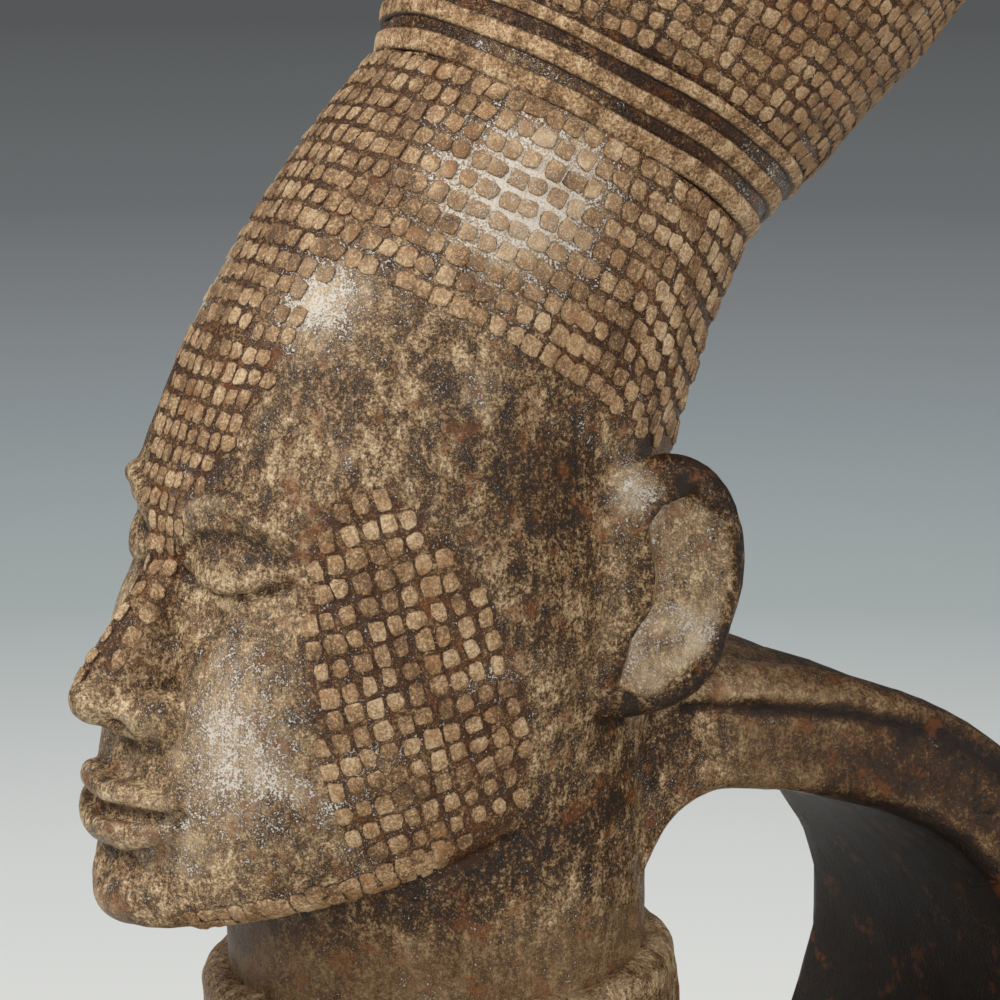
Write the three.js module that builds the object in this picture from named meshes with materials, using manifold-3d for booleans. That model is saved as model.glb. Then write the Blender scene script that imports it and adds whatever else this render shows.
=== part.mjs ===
// Figural wine vessel in fired clay, hand built and hollow from the mouth down to the belly.
// A round belly carries a short upright neck. The neck grows into a head whose long skull leans
// back and ends in a flared coiffure; the coiffure's rim is the mouth. A broad ribbed strap handle
// runs from the nape to the shoulder. Each piece is one that the potter shapes by itself and joins
// with slip. Millimetres, +Z up, the figure faces -Y, origin in the middle of the resting face.
import * as THREE from "three";
import { mergeVertices } from "three/addons/utils/BufferGeometryUtils.js";
import Module from "manifold-3d";

const wasm = await Module();
wasm.setup();

const degrees = Math.PI / 180;

// Clay
const wall = 6; // wall of every hollow piece
const floorWall = 8; // floor of the bowl
const slip = 0.3; // slip joint between two pieces

// Belly
const baseRadius = 34;
const bellyRadius = 74;
const bellyHeight = 54; // widest level, where bowl and shoulder are joined
const shoulderHeight = 113; // flat seat for neck and collar

// Neck and collar
const neckRadius = 27;
const neckHeight = 38; // from the shoulder to the jaw plane, on the neck's axis
const jawSlope = 20 * degrees; // the jaw plane rises towards the nape
const collarHeight = 15;
const collarProud = 3;
const collarTilt = 4 * degrees; // the collar dips at the front

// Skull
const crownHeight = 76.5; // from the jaw plane to the middle of the crown seam
const crownSetback = 17.7; // crown seam behind the neck's axis
const crownRadius = 25.8;
const skullLean = 31 * degrees;
const napeHollow = 5;
const foreheadBulge = 4.5;
const jawRound = 7; // rounding of the jaw's lower edge, where it overhangs the neck
const jawRoundTo = 0.17; // share of the skull's rise over which it is rounded

// Face, laid out in thirds: chin to nose base, nose base to brow, brow to hairline
const faceLength = 78;
const faceWidth = 62;
const jawWidth = 56;
const templeWidth = 60;
const faceLean = 9 * degrees;
const chinReach = 43.5; // chin in front of the neck's axis
const chinDrop = 15.5; // chin below the jaw plane's middle

// Applied features
const eyeWidth = 13.5;
const lidHeight = 9.7; // of the closed lids together
const lidParting = 1.8; // the lowest point of their meeting line, below the eye's level
const mouthWidth = 22;
const noseWidth = 12.5;
const noseBridgeWidth = 5.3;
const noseProud = 9.5;
const noseWing = 3.5; // radius of the wing at each side of its base
const browWidth = 3.4;
const browProud = 1.5;
const lidProud = 2.6;
const lipProud = 2.7;
const upperLipHeight = 4;
const lowerLipHeight = 4.7;
const earHeight = 32;
const earDepth = 24;
const earRise = 27; // the ear's middle above the jaw plane's middle
const earSetback = 11.3; // and behind the neck's axis
const earRim = 2.2;
const earRoot = 9; // from the rim back to the root
const earLean = 10 * degrees; // the lobe is carried forward
const earTurn = 65 * degrees; // the cup's opening, from straight ahead round to the side
const earCorner = 0.7; // below 1, the outline is fuller than an oval's at the back of the lobe

// Coiffure
const bandCount = 3;
const bandPitch = 3.2;
const bandWidth = 2.3;
const bandFoot = 2; // middle of the lowest coil above the crown seam
const bandProud = 0.9;
const bandSeat = 0.6; // the wall is pressed in under the bands
const coiffureLength = 56; // along the lean, from the crown seam to the rim
const mouthRadius = 40.5;
const rimThickness = 7;

// Handle
const handleTop = 55; // strap's upper face at the nape, above the shoulder's seat
const handleFoot = 78; // strap's outer face on the belly
const handleReach = 88; // furthest point behind the neck's axis
const strapRootThickness = 16;
const strapThickness = 14;
const strapCorner = 3.5;
const strapRootWidth = 38;
const strapGripWidth = 52;
const ribCount = 3;
const ribDepth = 1.5;
const rootFlare = 18; // how much thicker the strap is where it leaves the nape
const rootFlareFade = 4.5; // how far along the strap that extra fades
const footFlare = 10; // how much thicker where it lands on the belly
const footFlareFade = 8.3;
const flareHold = 15; // length at the foot that keeps its full thickness

// Facets
const bellySegments = 44;
const crownSegments = 40;
const skullSegments = 48;
const skullRings = 25;

const jawHeight = shoulderHeight + neckHeight;
const neckBore = neckRadius - wall;
const lerp = THREE.MathUtils.lerp;
const smooth = THREE.MathUtils.smoothstep;
const hill = (d, spread) => Math.exp(-((d / spread) ** 2));
const powered = (value, power) => Math.sign(value) * Math.abs(value) ** power;

// A point of a turned profile, and a point (or a direction) in the plane of symmetry.
const rz = (r, z) => new THREE.Vector2(r, z);
const yz = (y, z) => new THREE.Vector2(y, z);
const yzLean = (angle) => yz(Math.sin(angle), Math.cos(angle)); // leaning back from the vertical

// A solid body enclosed by a geometry's faces, and the way back.
function solidOf(geometry) {
  const bare = geometry.index ? geometry.toNonIndexed() : geometry.clone();
  bare.deleteAttribute("normal");
  bare.deleteAttribute("uv");
  const merged = mergeVertices(bare, 1e-4);
  return new wasm.Manifold(
    new wasm.Mesh({
      numProp: 3,
      vertProperties: merged.attributes.position.array,
      triVerts: new Uint32Array(merged.index.array),
    }),
  );
}

function geometryOf(solid) {
  const mesh = solid.getMesh();
  const positions = new Float32Array(mesh.numVert * 3);
  for (let i = 0; i < mesh.numVert; i++)
    positions.set(mesh.vertProperties.subarray(i * mesh.numProp, i * mesh.numProp + 3), i * 3);
  const geometry = new THREE.BufferGeometry();
  geometry.setAttribute("position", new THREE.BufferAttribute(positions, 3));
  geometry.setIndex(new THREE.BufferAttribute(mesh.triVerts, 1));
  geometry.computeVertexNormals();
  return geometry;
}

// A closed geometry through rings of equally many points. A shell's last ring joins its first;
// otherwise both ends are closed by fans round their middles.
function loft(rings, shell = false) {
  const count = rings[0].length;
  const points = rings.flat();
  const faces = [];
  const joins = shell ? rings.length : rings.length - 1;
  for (let r = 0; r < joins; r++) {
    const here = r * count;
    const next = ((r + 1) % rings.length) * count;
    for (let i = 0; i < count; i++) {
      const j = (i + 1) % count;
      faces.push(here + i, here + j, next + j, here + i, next + j, next + i);
    }
  }
  if (!shell) {
    for (const [ring, flip] of [[0, true], [rings.length - 1, false]]) {
      const middle = rings[ring].reduce((sum, p) => sum.clone().add(p), new THREE.Vector3());
      points.push(middle.divideScalar(count));
      const hub = points.length - 1;
      for (let i = 0; i < count; i++) {
        const edge = [ring * count + i, ring * count + ((i + 1) % count)];
        faces.push(...(flip ? [edge[1], edge[0]] : edge), hub);
      }
    }
  }
  if (signedVolume(points, faces) < 0) faces.reverse();
  const geometry = new THREE.BufferGeometry().setFromPoints(points);
  geometry.setIndex(faces);
  geometry.computeVertexNormals();
  return geometry;
}

function signedVolume(points, faces) {
  let six = 0;
  for (let i = 0; i < faces.length; i += 3) {
    const [a, b, c] = [points[faces[i]], points[faces[i + 1]], points[faces[i + 2]]];
    six += a.dot(b.clone().cross(c));
  }
  return six / 6;
}

// A closed profile of Vector2(radius, height) turned about +Z.
function turned(profile, segments = bellySegments) {
  const geometry = new THREE.LatheGeometry([...profile, profile[0]], segments);
  geometry.rotateX(Math.PI / 2);
  const flat = mergeVertices(geometry.deleteAttribute("normal").deleteAttribute("uv"), 1e-4);
  const index = Array.from(flat.index.array);
  const position = flat.attributes.position;
  const points = Array.from({ length: position.count }, (_, i) =>
    new THREE.Vector3().fromBufferAttribute(position, i),
  );
  if (signedVolume(points, index) < 0) flat.setIndex(index.reverse());
  flat.computeVertexNormals();
  return flat;
}

// A solid bar of revolution, from its height-ordered outline.
function turnedBar(outline, segments = bellySegments) {
  const first = outline[0];
  const last = outline[outline.length - 1];
  const profile = [new THREE.Vector2(0, first.y), ...outline, new THREE.Vector2(0, last.y)];
  return turned(profile, segments);
}

// Belly outline: a quarter ellipse from the resting face to the widest level, and another from
// there to the seat. Grown outwards by `grow`.
const seatRadius = neckRadius + collarProud + 1;

function bowlPoint(turn, inset = 0, floor = 0) {
  const r = lerp(baseRadius, bellyRadius, Math.sin(turn)) - inset;
  return rz(r, bellyHeight - (bellyHeight - floor) * Math.cos(turn));
}

function shoulderPoint(turn, inset = 0) {
  const r = lerp(seatRadius, bellyRadius - inset, Math.cos(turn));
  return rz(r, bellyHeight + (shoulderHeight - inset - bellyHeight) * Math.sin(turn));
}

const quarter = (steps) => Array.from({ length: steps + 1 }, (_, i) => (i / steps) * (Math.PI / 2));

function baseBowl() {
  const outer = quarter(7).map((turn) => bowlPoint(turn));
  const inner = quarter(4).map((turn) => bowlPoint(turn, wall, floorWall));
  return turned([rz(0, 0), ...outer, ...inner.reverse(), rz(0, floorWall)]);
}

function shoulderWall() {
  const outer = quarter(8).map((turn) => shoulderPoint(turn));
  const inner = quarter(5).map((turn) => shoulderPoint(turn, wall));
  const bore = [rz(neckBore, shoulderHeight), rz(neckBore, shoulderHeight - wall)];
  return turned([...outer, ...bore, ...inner.slice(0, -1).reverse()]);
}

// The jaw plane, where the neck ends and the head begins.
const jawPlaneAt = (y) => jawHeight + y * Math.tan(jawSlope);

function ringRound(radius, height, segments) {
  return Array.from({ length: segments }, (_, i) => {
    const turn = (i / segments) * 2 * Math.PI;
    const [x, y] = [radius * Math.sin(turn), -radius * Math.cos(turn)];
    return new THREE.Vector3(x, y, height(y));
  });
}

function neckWall() {
  const foot = () => shoulderHeight;
  const middle = (y) => lerp(shoulderHeight, jawPlaneAt(y), 0.5);
  const top = (y) => jawPlaneAt(y) - slip;
  const levels = [foot, middle, top];
  const outer = levels.map((level) => ringRound(neckRadius, level, bellySegments));
  const inner = levels.map((level) => ringRound(neckBore, level, bellySegments));
  return loft([...outer, ...inner.reverse()], true);
}

// A raised band with a rounded top edge, pressed round the foot of the neck.
function neckCollar() {
  const top = shoulderHeight + collarHeight;
  const foot = shoulderHeight - wall;
  const edge = quarter(4).map((turn) =>
    rz(neckRadius + collarProud * Math.cos(turn), top - collarProud * (1 - Math.sin(turn))),
  );
  const outline = [rz(neckRadius + collarProud, foot), ...edge];
  const band = turnedBar(outline).translate(0, 0, -top).rotateX(collarTilt).translate(0, 0, top);
  const neck = turnedBar([rz(neckRadius + slip, foot - wall), rz(neckRadius + slip, top + neckRadius)]);
  const below = turnedBar([rz(bellyRadius, 0), rz(bellyRadius, shoulderHeight + slip)]);
  return geometryOf(solidOf(band).subtract(solidOf(neck)).subtract(solidOf(below)));
}

// The skull is lofted between two rails in the plane of symmetry: the profile in front and the
// nape behind. Its sections fan out round the nape, from the jaw plane to the crown seam.
const crown = yz(crownSetback, jawHeight + crownHeight);
const crownForward = yz(-Math.cos(skullLean), Math.sin(skullLean));
const chin = yz(-chinReach, jawHeight - chinDrop);
const faceUp = yzLean(faceLean);
const faceOut = yz(-Math.cos(faceLean), Math.sin(faceLean));

// A point of the profile by its share of the face's length above the chin.
const onProfile = (share, out) =>
  chin.clone().addScaledVector(faceUp, share * faceLength).addScaledVector(faceOut, out);

const crownFront = crown.clone().addScaledVector(crownForward, crownRadius);
const crownBack = crown.clone().addScaledVector(crownForward, -crownRadius);
const napeFoot = yz(neckRadius, jawPlaneAt(neckRadius));
const browPoint = onProfile(2 / 3, 1.5);

function onForehead(share) {
  const line = crownFront.clone().sub(browPoint);
  const out = yz(-line.y, line.x).normalize();
  const bulge = foreheadBulge * Math.sin(share * Math.PI);
  return browPoint.clone().addScaledVector(line, share).addScaledVector(out, bulge);
}

function onNape(share) {
  const line = crownBack.clone().sub(napeFoot);
  const forward = yz(-line.y, line.x).normalize();
  const hollow = napeHollow * Math.sin(share * Math.PI);
  return napeFoot.clone().addScaledVector(line, share).addScaledVector(forward, hollow);
}

const underChin = yz(-chinReach + 4, jawPlaneAt(-chinReach + 4));
const stations = [
  { front: underChin, back: onNape(0), width: jawWidth },
  { front: onProfile(0.07, 0), back: onNape(0.09), width: jawWidth + 2 },
  { front: onProfile(1 / 3, 0.5), back: onNape(0.3), width: faceWidth },
  { front: browPoint, back: onNape(0.56), width: templeWidth },
  { front: onForehead(0.36), back: onNape(0.74), width: lerp(templeWidth, 2 * crownRadius, 0.25) },
  { front: onForehead(0.72), back: onNape(0.88), width: lerp(templeWidth, 2 * crownRadius, 0.7) },
  { front: crownFront, back: crownBack, width: 2 * crownRadius },
];
const frontRail = new THREE.SplineCurve(stations.map((s) => s.front));
const backRail = new THREE.SplineCurve(stations.map((s) => s.back));
const widthRail = new THREE.SplineCurve(stations.map((s, i) => yz(s.width, i)));

// Soft relief of the face by its place: x across, v above the chin, in millimetres.
const eyeAcross = faceWidth / 5;
const eyeLevel = 0.575 * faceLength;
const browLevel = (2 / 3) * faceLength;
const noseLevel = faceLength / 3;
const mouthLevel = (2 / 9) * faceLength;

function relief(x, v) {
  const side = Math.abs(x);
  const across = (at, spread) => hill(side - at, spread);
  const up = (share, spread) => hill(v - share * faceLength, spread * faceLength);
  return (
    -3.2 * across(eyeAcross, 7.5) * up(0.56, 0.085) +
    1.3 * across(eyeAcross * 0.8, 9) * up(0.67, 0.045) +
    1.8 * across(faceWidth * 0.33, 8) * up(0.41, 0.1) +
    3.4 * across(0, 13) * up(0.23, 0.1) +
    3.4 * across(0, 9) * up(0.075, 0.07) -
    1.4 * across(0, 9) * up(0.15, 0.03)
  );
}

// A section of the skull at t, 0 at the jaw plane and 1 at the crown seam.
function section(t) {
  const front = frontRail.getPoint(t);
  const back = backRail.getPoint(t);
  const forward = front.clone().sub(back);
  return {
    middle: front.clone().add(back).multiplyScalar(0.5),
    depth: forward.length() / 2,
    forward: forward.normalize(),
    half: widthRail.getPoint(t).x / 2,
    v: front.clone().sub(chin).dot(faceUp),
  };
}

// Fullness of the face's front half, as the exponent of a superellipse.
const fullness = (s) => 2 + 0.35 * smooth(s.v, 0, 20) * (1 - smooth(s.v, 55, 95));

function skullPoint(s, turn, grow = 0) {
  const [sine, cosine] = [Math.sin(turn), Math.cos(turn)];
  const power = 2 / (cosine > 0 ? fullness(s) : 2);
  const across = powered(sine, power);
  const along = powered(cosine, power);
  const lift = relief(s.half * across, s.v) * smooth(cosine, 0, 0.5) + grow;
  const x = s.half * across + lift * sine;
  const reach = s.depth * along + lift * cosine;
  return new THREE.Vector3(
    x,
    s.middle.x + s.forward.x * reach,
    s.middle.y + s.forward.y * reach,
  );
}

// Turns round a section, closer together at the face.
const skullTurns = Array.from({ length: skullSegments }, (_, i) => {
  const even = (i / skullSegments) * 2 * Math.PI - Math.PI;
  return even - 0.35 * Math.sin(even);
});

// Levels of the skull's rings, closer together at the jaw.
const skullLevels = Array.from({ length: skullRings + 1 }, (_, i) => (i / skullRings) ** 1.25);

function skullRing(t, grow = 0) {
  const s = section(t);
  const share = Math.max(0, 1 - t / jawRoundTo);
  const rounding = 1 - Math.sqrt(1 - share * share);
  return skullTurns.map((turn) => {
    const sharp = skullPoint(s, turn);
    const overhang = Math.max(0, Math.hypot(sharp.x, sharp.y) - neckRadius);
    return skullPoint(s, turn, grow - Math.min(jawRound, 0.8 * overhang) * rounding);
  });
}

// The cavity keeps the wall's thickness and narrows to the neck's bore at the jaw plane.
function cavityRing(t) {
  const s = section(t);
  const rise = smooth(t, 0, 0.22);
  return skullTurns.map((turn) => {
    const [x, y] = [neckBore * Math.sin(turn), -neckBore * Math.cos(turn)];
    const bore = new THREE.Vector3(x, y, jawPlaneAt(y));
    const inside = new THREE.Vector3(
      (s.half - wall) * Math.sin(turn),
      s.middle.x + s.forward.x * (s.depth - wall) * Math.cos(turn),
      s.middle.y + s.forward.y * (s.depth - wall) * Math.cos(turn),
    );
    return bore.lerp(inside, rise);
  });
}

function headShell() {
  const outer = skullLevels.map((t) => skullRing(t));
  const steps = 8;
  const inner = Array.from({ length: steps + 1 }, (_, i) => cavityRing(1 - i / steps));
  return loft([...outer, ...inner], true);
}

// The head without its cavity, grown by the slip joint, to cut what sits on it.
const headCutter = solidOf(loft(skullLevels.map((t) => skullRing(t, slip))));

// What stands clear of the head, without the crumbs that a grazing cut leaves.
const clearOfHead = (solid) =>
  solid
    .subtract(headCutter)
    .decompose()
    .reduce((main, body) => (body.volume() > main.volume() ? body : main));

const seatedOnHead = (geometry) => geometryOf(clearOfHead(solidOf(geometry)));

// The face's surface at x across and v above the chin, with its outward normal.
function onFace(x, v) {
  let [low, high] = [0, 1];
  for (let i = 0; i < 24; i++) {
    const t = (low + high) / 2;
    if (section(t).v < v) low = t;
    else high = t;
  }
  const at = (dt, dx) => {
    const s = section(low + dt);
    const share = Math.min(1, Math.abs(x + dx) / s.half);
    return skullPoint(s, Math.sign(x + dx) * Math.asin(share ** (fullness(s) / 2)));
  };
  const point = at(0, 0);
  const upwards = at(0.004, 0).sub(point);
  const sideways = at(0, 0.3).sub(point);
  return { point, normal: sideways.cross(upwards).normalize() };
}

// A bar of clay laid along a path on the face: lens section, tapering where `width` does.
function bead(path, width, proud, steps, sides = 10, sunk = 2.5) {
  const marks = Array.from({ length: steps + 1 }, (_, i) => i / steps);
  const places = marks.map((s) => onFace(...path(s)));
  const rings = places.map(({ point, normal }, i) => {
    const before = places[Math.max(0, i - 1)].point;
    const after = places[Math.min(steps, i + 1)].point;
    const side = after.clone().sub(before).cross(normal).normalize();
    const [w, h] = [width(marks[i]) / 2, proud(marks[i])];
    return Array.from({ length: sides }, (_, k) => {
      const turn = (k / sides) * 2 * Math.PI;
      const rise = Math.sin(turn) > 0 ? h * Math.sin(turn) : sunk * Math.sin(turn);
      return point.clone().addScaledVector(side, w * Math.cos(turn)).addScaledVector(normal, rise);
    });
  });
  return loft(rings);
}

// Nose: a wedge that rises out of the brow's middle, with a wing at each side of its base.
function nose() {
  const root = browLevel - 1.5;
  const base = noseLevel - 1;
  const atTip = (s) => s > 0.95; // the last stretch turns under
  const path = (s) => [0, lerp(root, base, s)];
  const width = (s) => lerp(noseBridgeWidth, noseWidth, s ** 1.5) * (atTip(s) ? 0.86 : 1);
  const rise = (s) => 1.25 * smooth(s, -0.1, 0.86) - 0.25; // starts under the skin
  const proud = (s) => noseProud * rise(s) * (atTip(s) ? 0.66 : 1);
  let body = solidOf(bead(path, width, proud, 10, 14, 4));
  for (const side of [-1, 1]) {
    const { point, normal } = onFace(side * (noseWidth / 2 - 0.35 * noseWing), noseLevel + 2.4);
    const wing = new THREE.SphereGeometry(noseWing, 12, 8);
    wing.translate(...point.addScaledVector(normal, 1).toArray());
    body = body.add(solidOf(wing));
  }
  return geometryOf(clearOfHead(body));
}

// Lips: two tapering beads that meet at the corners of the mouth.
const taper = (s, sharp = 0.75) => Math.max(0.12, Math.sin(s * Math.PI) ** sharp);

function lip(upper) {
  const away = upper ? 1 : -1;
  const height = upper ? upperLipHeight : lowerLipHeight;
  const path = (s) => {
    const across = (-mouthWidth / 2) * Math.cos(s * Math.PI);
    const bow = (height / 2) * Math.sin(s * Math.PI) ** 0.8;
    return [across, mouthLevel + away * (bow + slip)];
  };
  const width = (s) => height * taper(s);
  const proud = (s) => lipProud * taper(s);
  return seatedOnHead(bead(path, width, proud, 14, 10));
}

// Brows: an arch over each eye, tapered at both ends.
function brow(side) {
  const path = (s) => [
    side * lerp(eyeAcross * 0.42, eyeAcross * 1.72, s),
    browLevel + faceLength * (0.045 * Math.sin(Math.PI * Math.min(1, s * 0.95 + 0.12)) - 0.012),
  ];
  const width = (s) => browWidth * taper(s, 0.5);
  const proud = (s) => browProud * taper(s, 0.5);
  return seatedOnHead(bead(path, width, proud, 12, 8));
}

// Closed lids: one almond mound, parted along a drooping arc where the lids meet.
function lid(side, upper) {
  const { point, normal } = onFace(side * eyeAcross, eyeLevel);
  const swell = upper ? 1 : 0.92;
  const sunk = 1.6; // how far the mound's middle lies under the skin
  const mound = new THREE.SphereGeometry(1, 20, 12);
  mound.scale((eyeWidth / 2) * swell, (lidHeight / 2) * swell, (lidProud + sunk) * swell);
  const partingRadius = eyeWidth;
  const radius = partingRadius + (upper ? -slip / 2 : slip / 2);
  const parting = new THREE.CylinderGeometry(radius, radius, 40, 48).rotateX(Math.PI / 2);
  parting.translate(0, partingRadius - lidParting, 0);
  const facing = new THREE.Matrix4().lookAt(normal, new THREE.Vector3(), new THREE.Vector3(0, 0, 1));
  const place = point.clone().addScaledVector(normal, -sunk);
  for (const piece of [mound, parting]) piece.applyMatrix4(facing).translate(...place.toArray());
  const [almond, arc] = [solidOf(mound), solidOf(parting)];
  const half = upper ? almond.intersect(arc) : almond.subtract(arc);
  return geometryOf(clearOfHead(half));
}

// Ears: an oval cup with a rolled rim, standing off the side of the head towards the back.
function ear(side) {
  const backwards = new THREE.Vector3(side * Math.cos(earTurn), Math.sin(earTurn), 0);
  const out = new THREE.Vector3(side * Math.sin(earTurn), -Math.cos(earTurn), 0);
  const foot = section(0.4);
  const middle = new THREE.Vector3(side * foot.half, earSetback, jawHeight + earRise);
  // each ring: how far inside the outline, and how far out from the rim's crest
  const rings = [
    [earDepth * 0.36, -earRoot],
    [earRim * 1.6, -earRoot * 0.8],
    [earRim * 0.3, -earRoot * 0.45],
    [0, -earRim],
    [earRim * 0.35, -earRim * 0.25],
    [earRim, 0],
    [earRim * 1.6, -earRim * 0.5],
    [earRim * 2, -earRim * 1.2],
    [earRim * 3.2, -earRim * 2],
  ];
  const steps = 24;
  return seatedOnHead(
    loft(
      rings.map(([inset, rise]) =>
        Array.from({ length: steps }, (_, i) => {
          const turn = (i / steps) * 2 * Math.PI;
          const towardsCorner = turn < Math.PI ? smooth(-Math.sin(2 * turn), 0, 1) : 0;
          const power = lerp(1, earCorner, towardsCorner);
          const up = (earHeight / 2 - inset) * powered(Math.cos(turn), power);
          const across = (earDepth / 2 - inset) * powered(Math.sin(turn), power);
          const back = across + up * Math.tan(earLean);
          const place = middle.clone().addScaledVector(backwards, back).addScaledVector(out, rise);
          return place.setZ(place.z + up);
        }),
      ),
    ),
  );
}

// Coiffure, in the frame of the leaning skull: one flare from the crown seam to the mouth.
function coiffureRadius(h) {
  const share = h / coiffureLength;
  const flare = lerp(crownRadius, mouthRadius, share + 0.16 * share * (1 - share));
  const bandTop = bandCount * bandPitch;
  return flare - bandSeat * (1 - smooth(h, bandTop - bandPitch, bandTop + bandPitch));
}

function coiffureWall() {
  const steps = 6;
  const heights = Array.from({ length: steps + 1 }, (_, i) => lerp(slip, coiffureLength, i / steps));
  const outer = heights.map((h) => rz(coiffureRadius(h), h));
  const inner = heights.map((h) => rz(coiffureRadius(h) - wall, h)).reverse();
  return turned([...outer, ...inner], crownSegments);
}

// Headband: raised coils laid side by side round the foot of the coiffure.
function headband(index) {
  const middle = bandFoot + bandPitch * index;
  const onWall = (k, out) => {
    const h = middle + (bandWidth / 2) * k;
    return rz(coiffureRadius(h) + slip + out, h);
  };
  const crest = [-0.8, 0, 0.8].map((k) => onWall(k, bandProud * (1 - 0.25 * k * k)));
  return turned([onWall(-1, 0), ...crest, onWall(1, 0)], crownSegments);
}

// The mouth's rim: one rolled coil on the end of the flare.
function mouthRim() {
  const foot = coiffureLength + slip;
  const middle = mouthRadius - wall / 2;
  const coil = Array.from({ length: 6 }, (_, i) => {
    const turn = (i / 5) * Math.PI;
    const reach = (wall / 2 + 1.2) * Math.cos(turn);
    return rz(middle + reach, foot + rimThickness * (0.35 + 0.65 * Math.sin(turn)));
  });
  return turned([rz(middle + wall / 2, foot), ...coil, rz(middle - wall / 2, foot)], crownSegments);
}

// Handle: a strap lofted along its outer face, thicker where it grows out of the nape and where
// it lands on the belly, with ribs along its back. Its stations go from the nape over the top and
// down: shares of the reach behind the neck, and drops below the strap's top.
const strapTop = shoulderHeight + handleTop;
const reachAt = (share) => lerp(neckRadius, handleReach, share);
const rootDepth = neckRadius / 2; // how far the strap's lines run on inside the neck
const outerFace = new THREE.SplineCurve([
  yz(neckRadius - rootDepth, strapTop - 2.5),
  yz(reachAt(0.1), strapTop - 4),
  yz(reachAt(0.42), strapTop - 8.5),
  yz(reachAt(0.72), strapTop - 18),
  yz(reachAt(0.94), strapTop - 34.5),
  yz(handleReach, strapTop - 53),
  yz(reachAt(0.92), lerp(handleFoot, shoulderHeight, 0.5)),
  yz(bellyRadius, handleFoot),
  yz(bellyRadius - strapThickness, handleFoot - strapThickness),
]);

// The strap's section, as places across it and depths below its outer face: ribs along the outer
// face, rounded corners and a plain inner face.
function strapOutline(width, thickness) {
  const flat = width / 2 - strapCorner;
  const inner = thickness - strapCorner;
  const grooves = ribCount - 1;
  const steps = grooves * 6;
  const back = Array.from({ length: steps + 1 }, (_, i) => {
    const sink = 0.5 - 0.5 * Math.cos((i / steps) * grooves * 2 * Math.PI);
    return [lerp(flat, -flat, i / steps), ribDepth * sink];
  });
  const corner = (side, middle, turns) =>
    turns.map((turn) => [
      side * (flat + strapCorner * Math.cos(turn * degrees)),
      middle - strapCorner * Math.sin(turn * degrees),
    ]);
  return [
    ...back,
    ...corner(-1, strapCorner, [60, 30, 0]),
    ...corner(-1, inner, [0, -45, -90]),
    [0, thickness],
    ...corner(1, inner, [-90, -45, 0]),
    ...corner(1, strapCorner, [0, 30, 60]),
  ];
}

function strapSection(s) {
  const length = outerFace.getLength();
  const outer = outerFace.getPointAt(s);
  const along = outerFace.getTangentAt(s);
  const fromRoot = Math.max(0, s * length - rootDepth * 0.4);
  const fromFoot = Math.max(0, (1 - s) * length - flareHold);
  const flare = rootFlare * Math.exp(-fromRoot / rootFlareFade);
  const spread = footFlare * Math.exp(-fromFoot / footFlareFade);
  const width = lerp(strapRootWidth, strapGripWidth, smooth(s, 0.05, 0.5)) + spread / 2;
  const thickness = lerp(strapRootThickness, strapThickness, smooth(s, 0.15, 0.5));
  return strapOutline(width, thickness + flare + spread).map(
    ([x, depth]) => new THREE.Vector3(x, outer.x + along.y * depth, outer.y - along.x * depth),
  );
}

function strapHandle() {
  const steps = 22; // closer together at the root
  const marks = Array.from({ length: steps + 1 }, (_, i) => (i / steps) ** 1.4);
  const strap = solidOf(loft(marks.map(strapSection)));
  const under = quarter(12).map((turn) => bowlPoint(turn, -slip, -slip));
  const over = quarter(12).map((turn) => shoulderPoint(turn, -slip));
  const belly = solidOf(turnedBar([...under, ...over.slice(1)]));
  const neckFace = neckRadius + slip;
  const neck = solidOf(turnedBar([rz(neckFace, shoulderHeight), rz(neckFace, jawHeight + neckRadius)]));
  const collarFace = neckRadius + collarProud + slip;
  const collarTop = shoulderHeight + collarHeight + neckRadius * Math.tan(collarTilt) + slip;
  const collar = solidOf(turnedBar([rz(collarFace, shoulderHeight), rz(collarFace, collarTop)]));
  return geometryOf(clearOfHead(strap.subtract(belly).subtract(neck).subtract(collar)));
}

// Finishes: burnished slip, worn back to the paler clay where hands and tools have been.
const burnished = new THREE.MeshStandardMaterial({ color: 0x4a3a2c, roughness: 0.42, metalness: 0 });
const worn = new THREE.MeshStandardMaterial({ color: 0x8a7052, roughness: 0.75, metalness: 0 });

const vessel = new THREE.Group();
const leaning = new THREE.Group(); // the frame of the crown seam, along the skull's lean
leaning.position.set(0, crown.x, crown.y);
leaning.rotation.x = -skullLean;
vessel.add(leaning);

function add(name, geometry, material, parent = vessel) {
  const mesh = new THREE.Mesh(geometry, material);
  mesh.name = name;
  parent.add(mesh);
}

add("base_bowl", baseBowl(), burnished);
add("shoulder_wall", shoulderWall(), burnished);
add("neck_collar", neckCollar(), burnished);
add("neck_wall", neckWall(), burnished);
add("head_shell", headShell(), burnished);
add("nose", nose(), burnished);
add("upper_lip", lip(true), worn);
add("lower_lip", lip(false), worn);
for (const [name, side] of [["left", 1], ["right", -1]]) {
  add(name + "_brow", brow(side), worn);
  add(name + "_upper_lid", lid(side, true), worn);
  add(name + "_lower_lid", lid(side, false), worn);
  add(name + "_ear", ear(side), burnished);
}
add("strap_handle", strapHandle(), burnished);
add("coiffure_wall", coiffureWall(), worn, leaning);
for (let i = 0; i < bandCount; i++) add("headband_" + (i + 1), headband(i), worn, leaning);
add("mouth_rim", mouthRim(), worn, leaning);

export default vessel;
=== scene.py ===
import math
import random

import bmesh
import bpy
import numpy as np
from mathutils import Matrix, Vector
from mathutils.bvhtree import BVHTree


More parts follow.
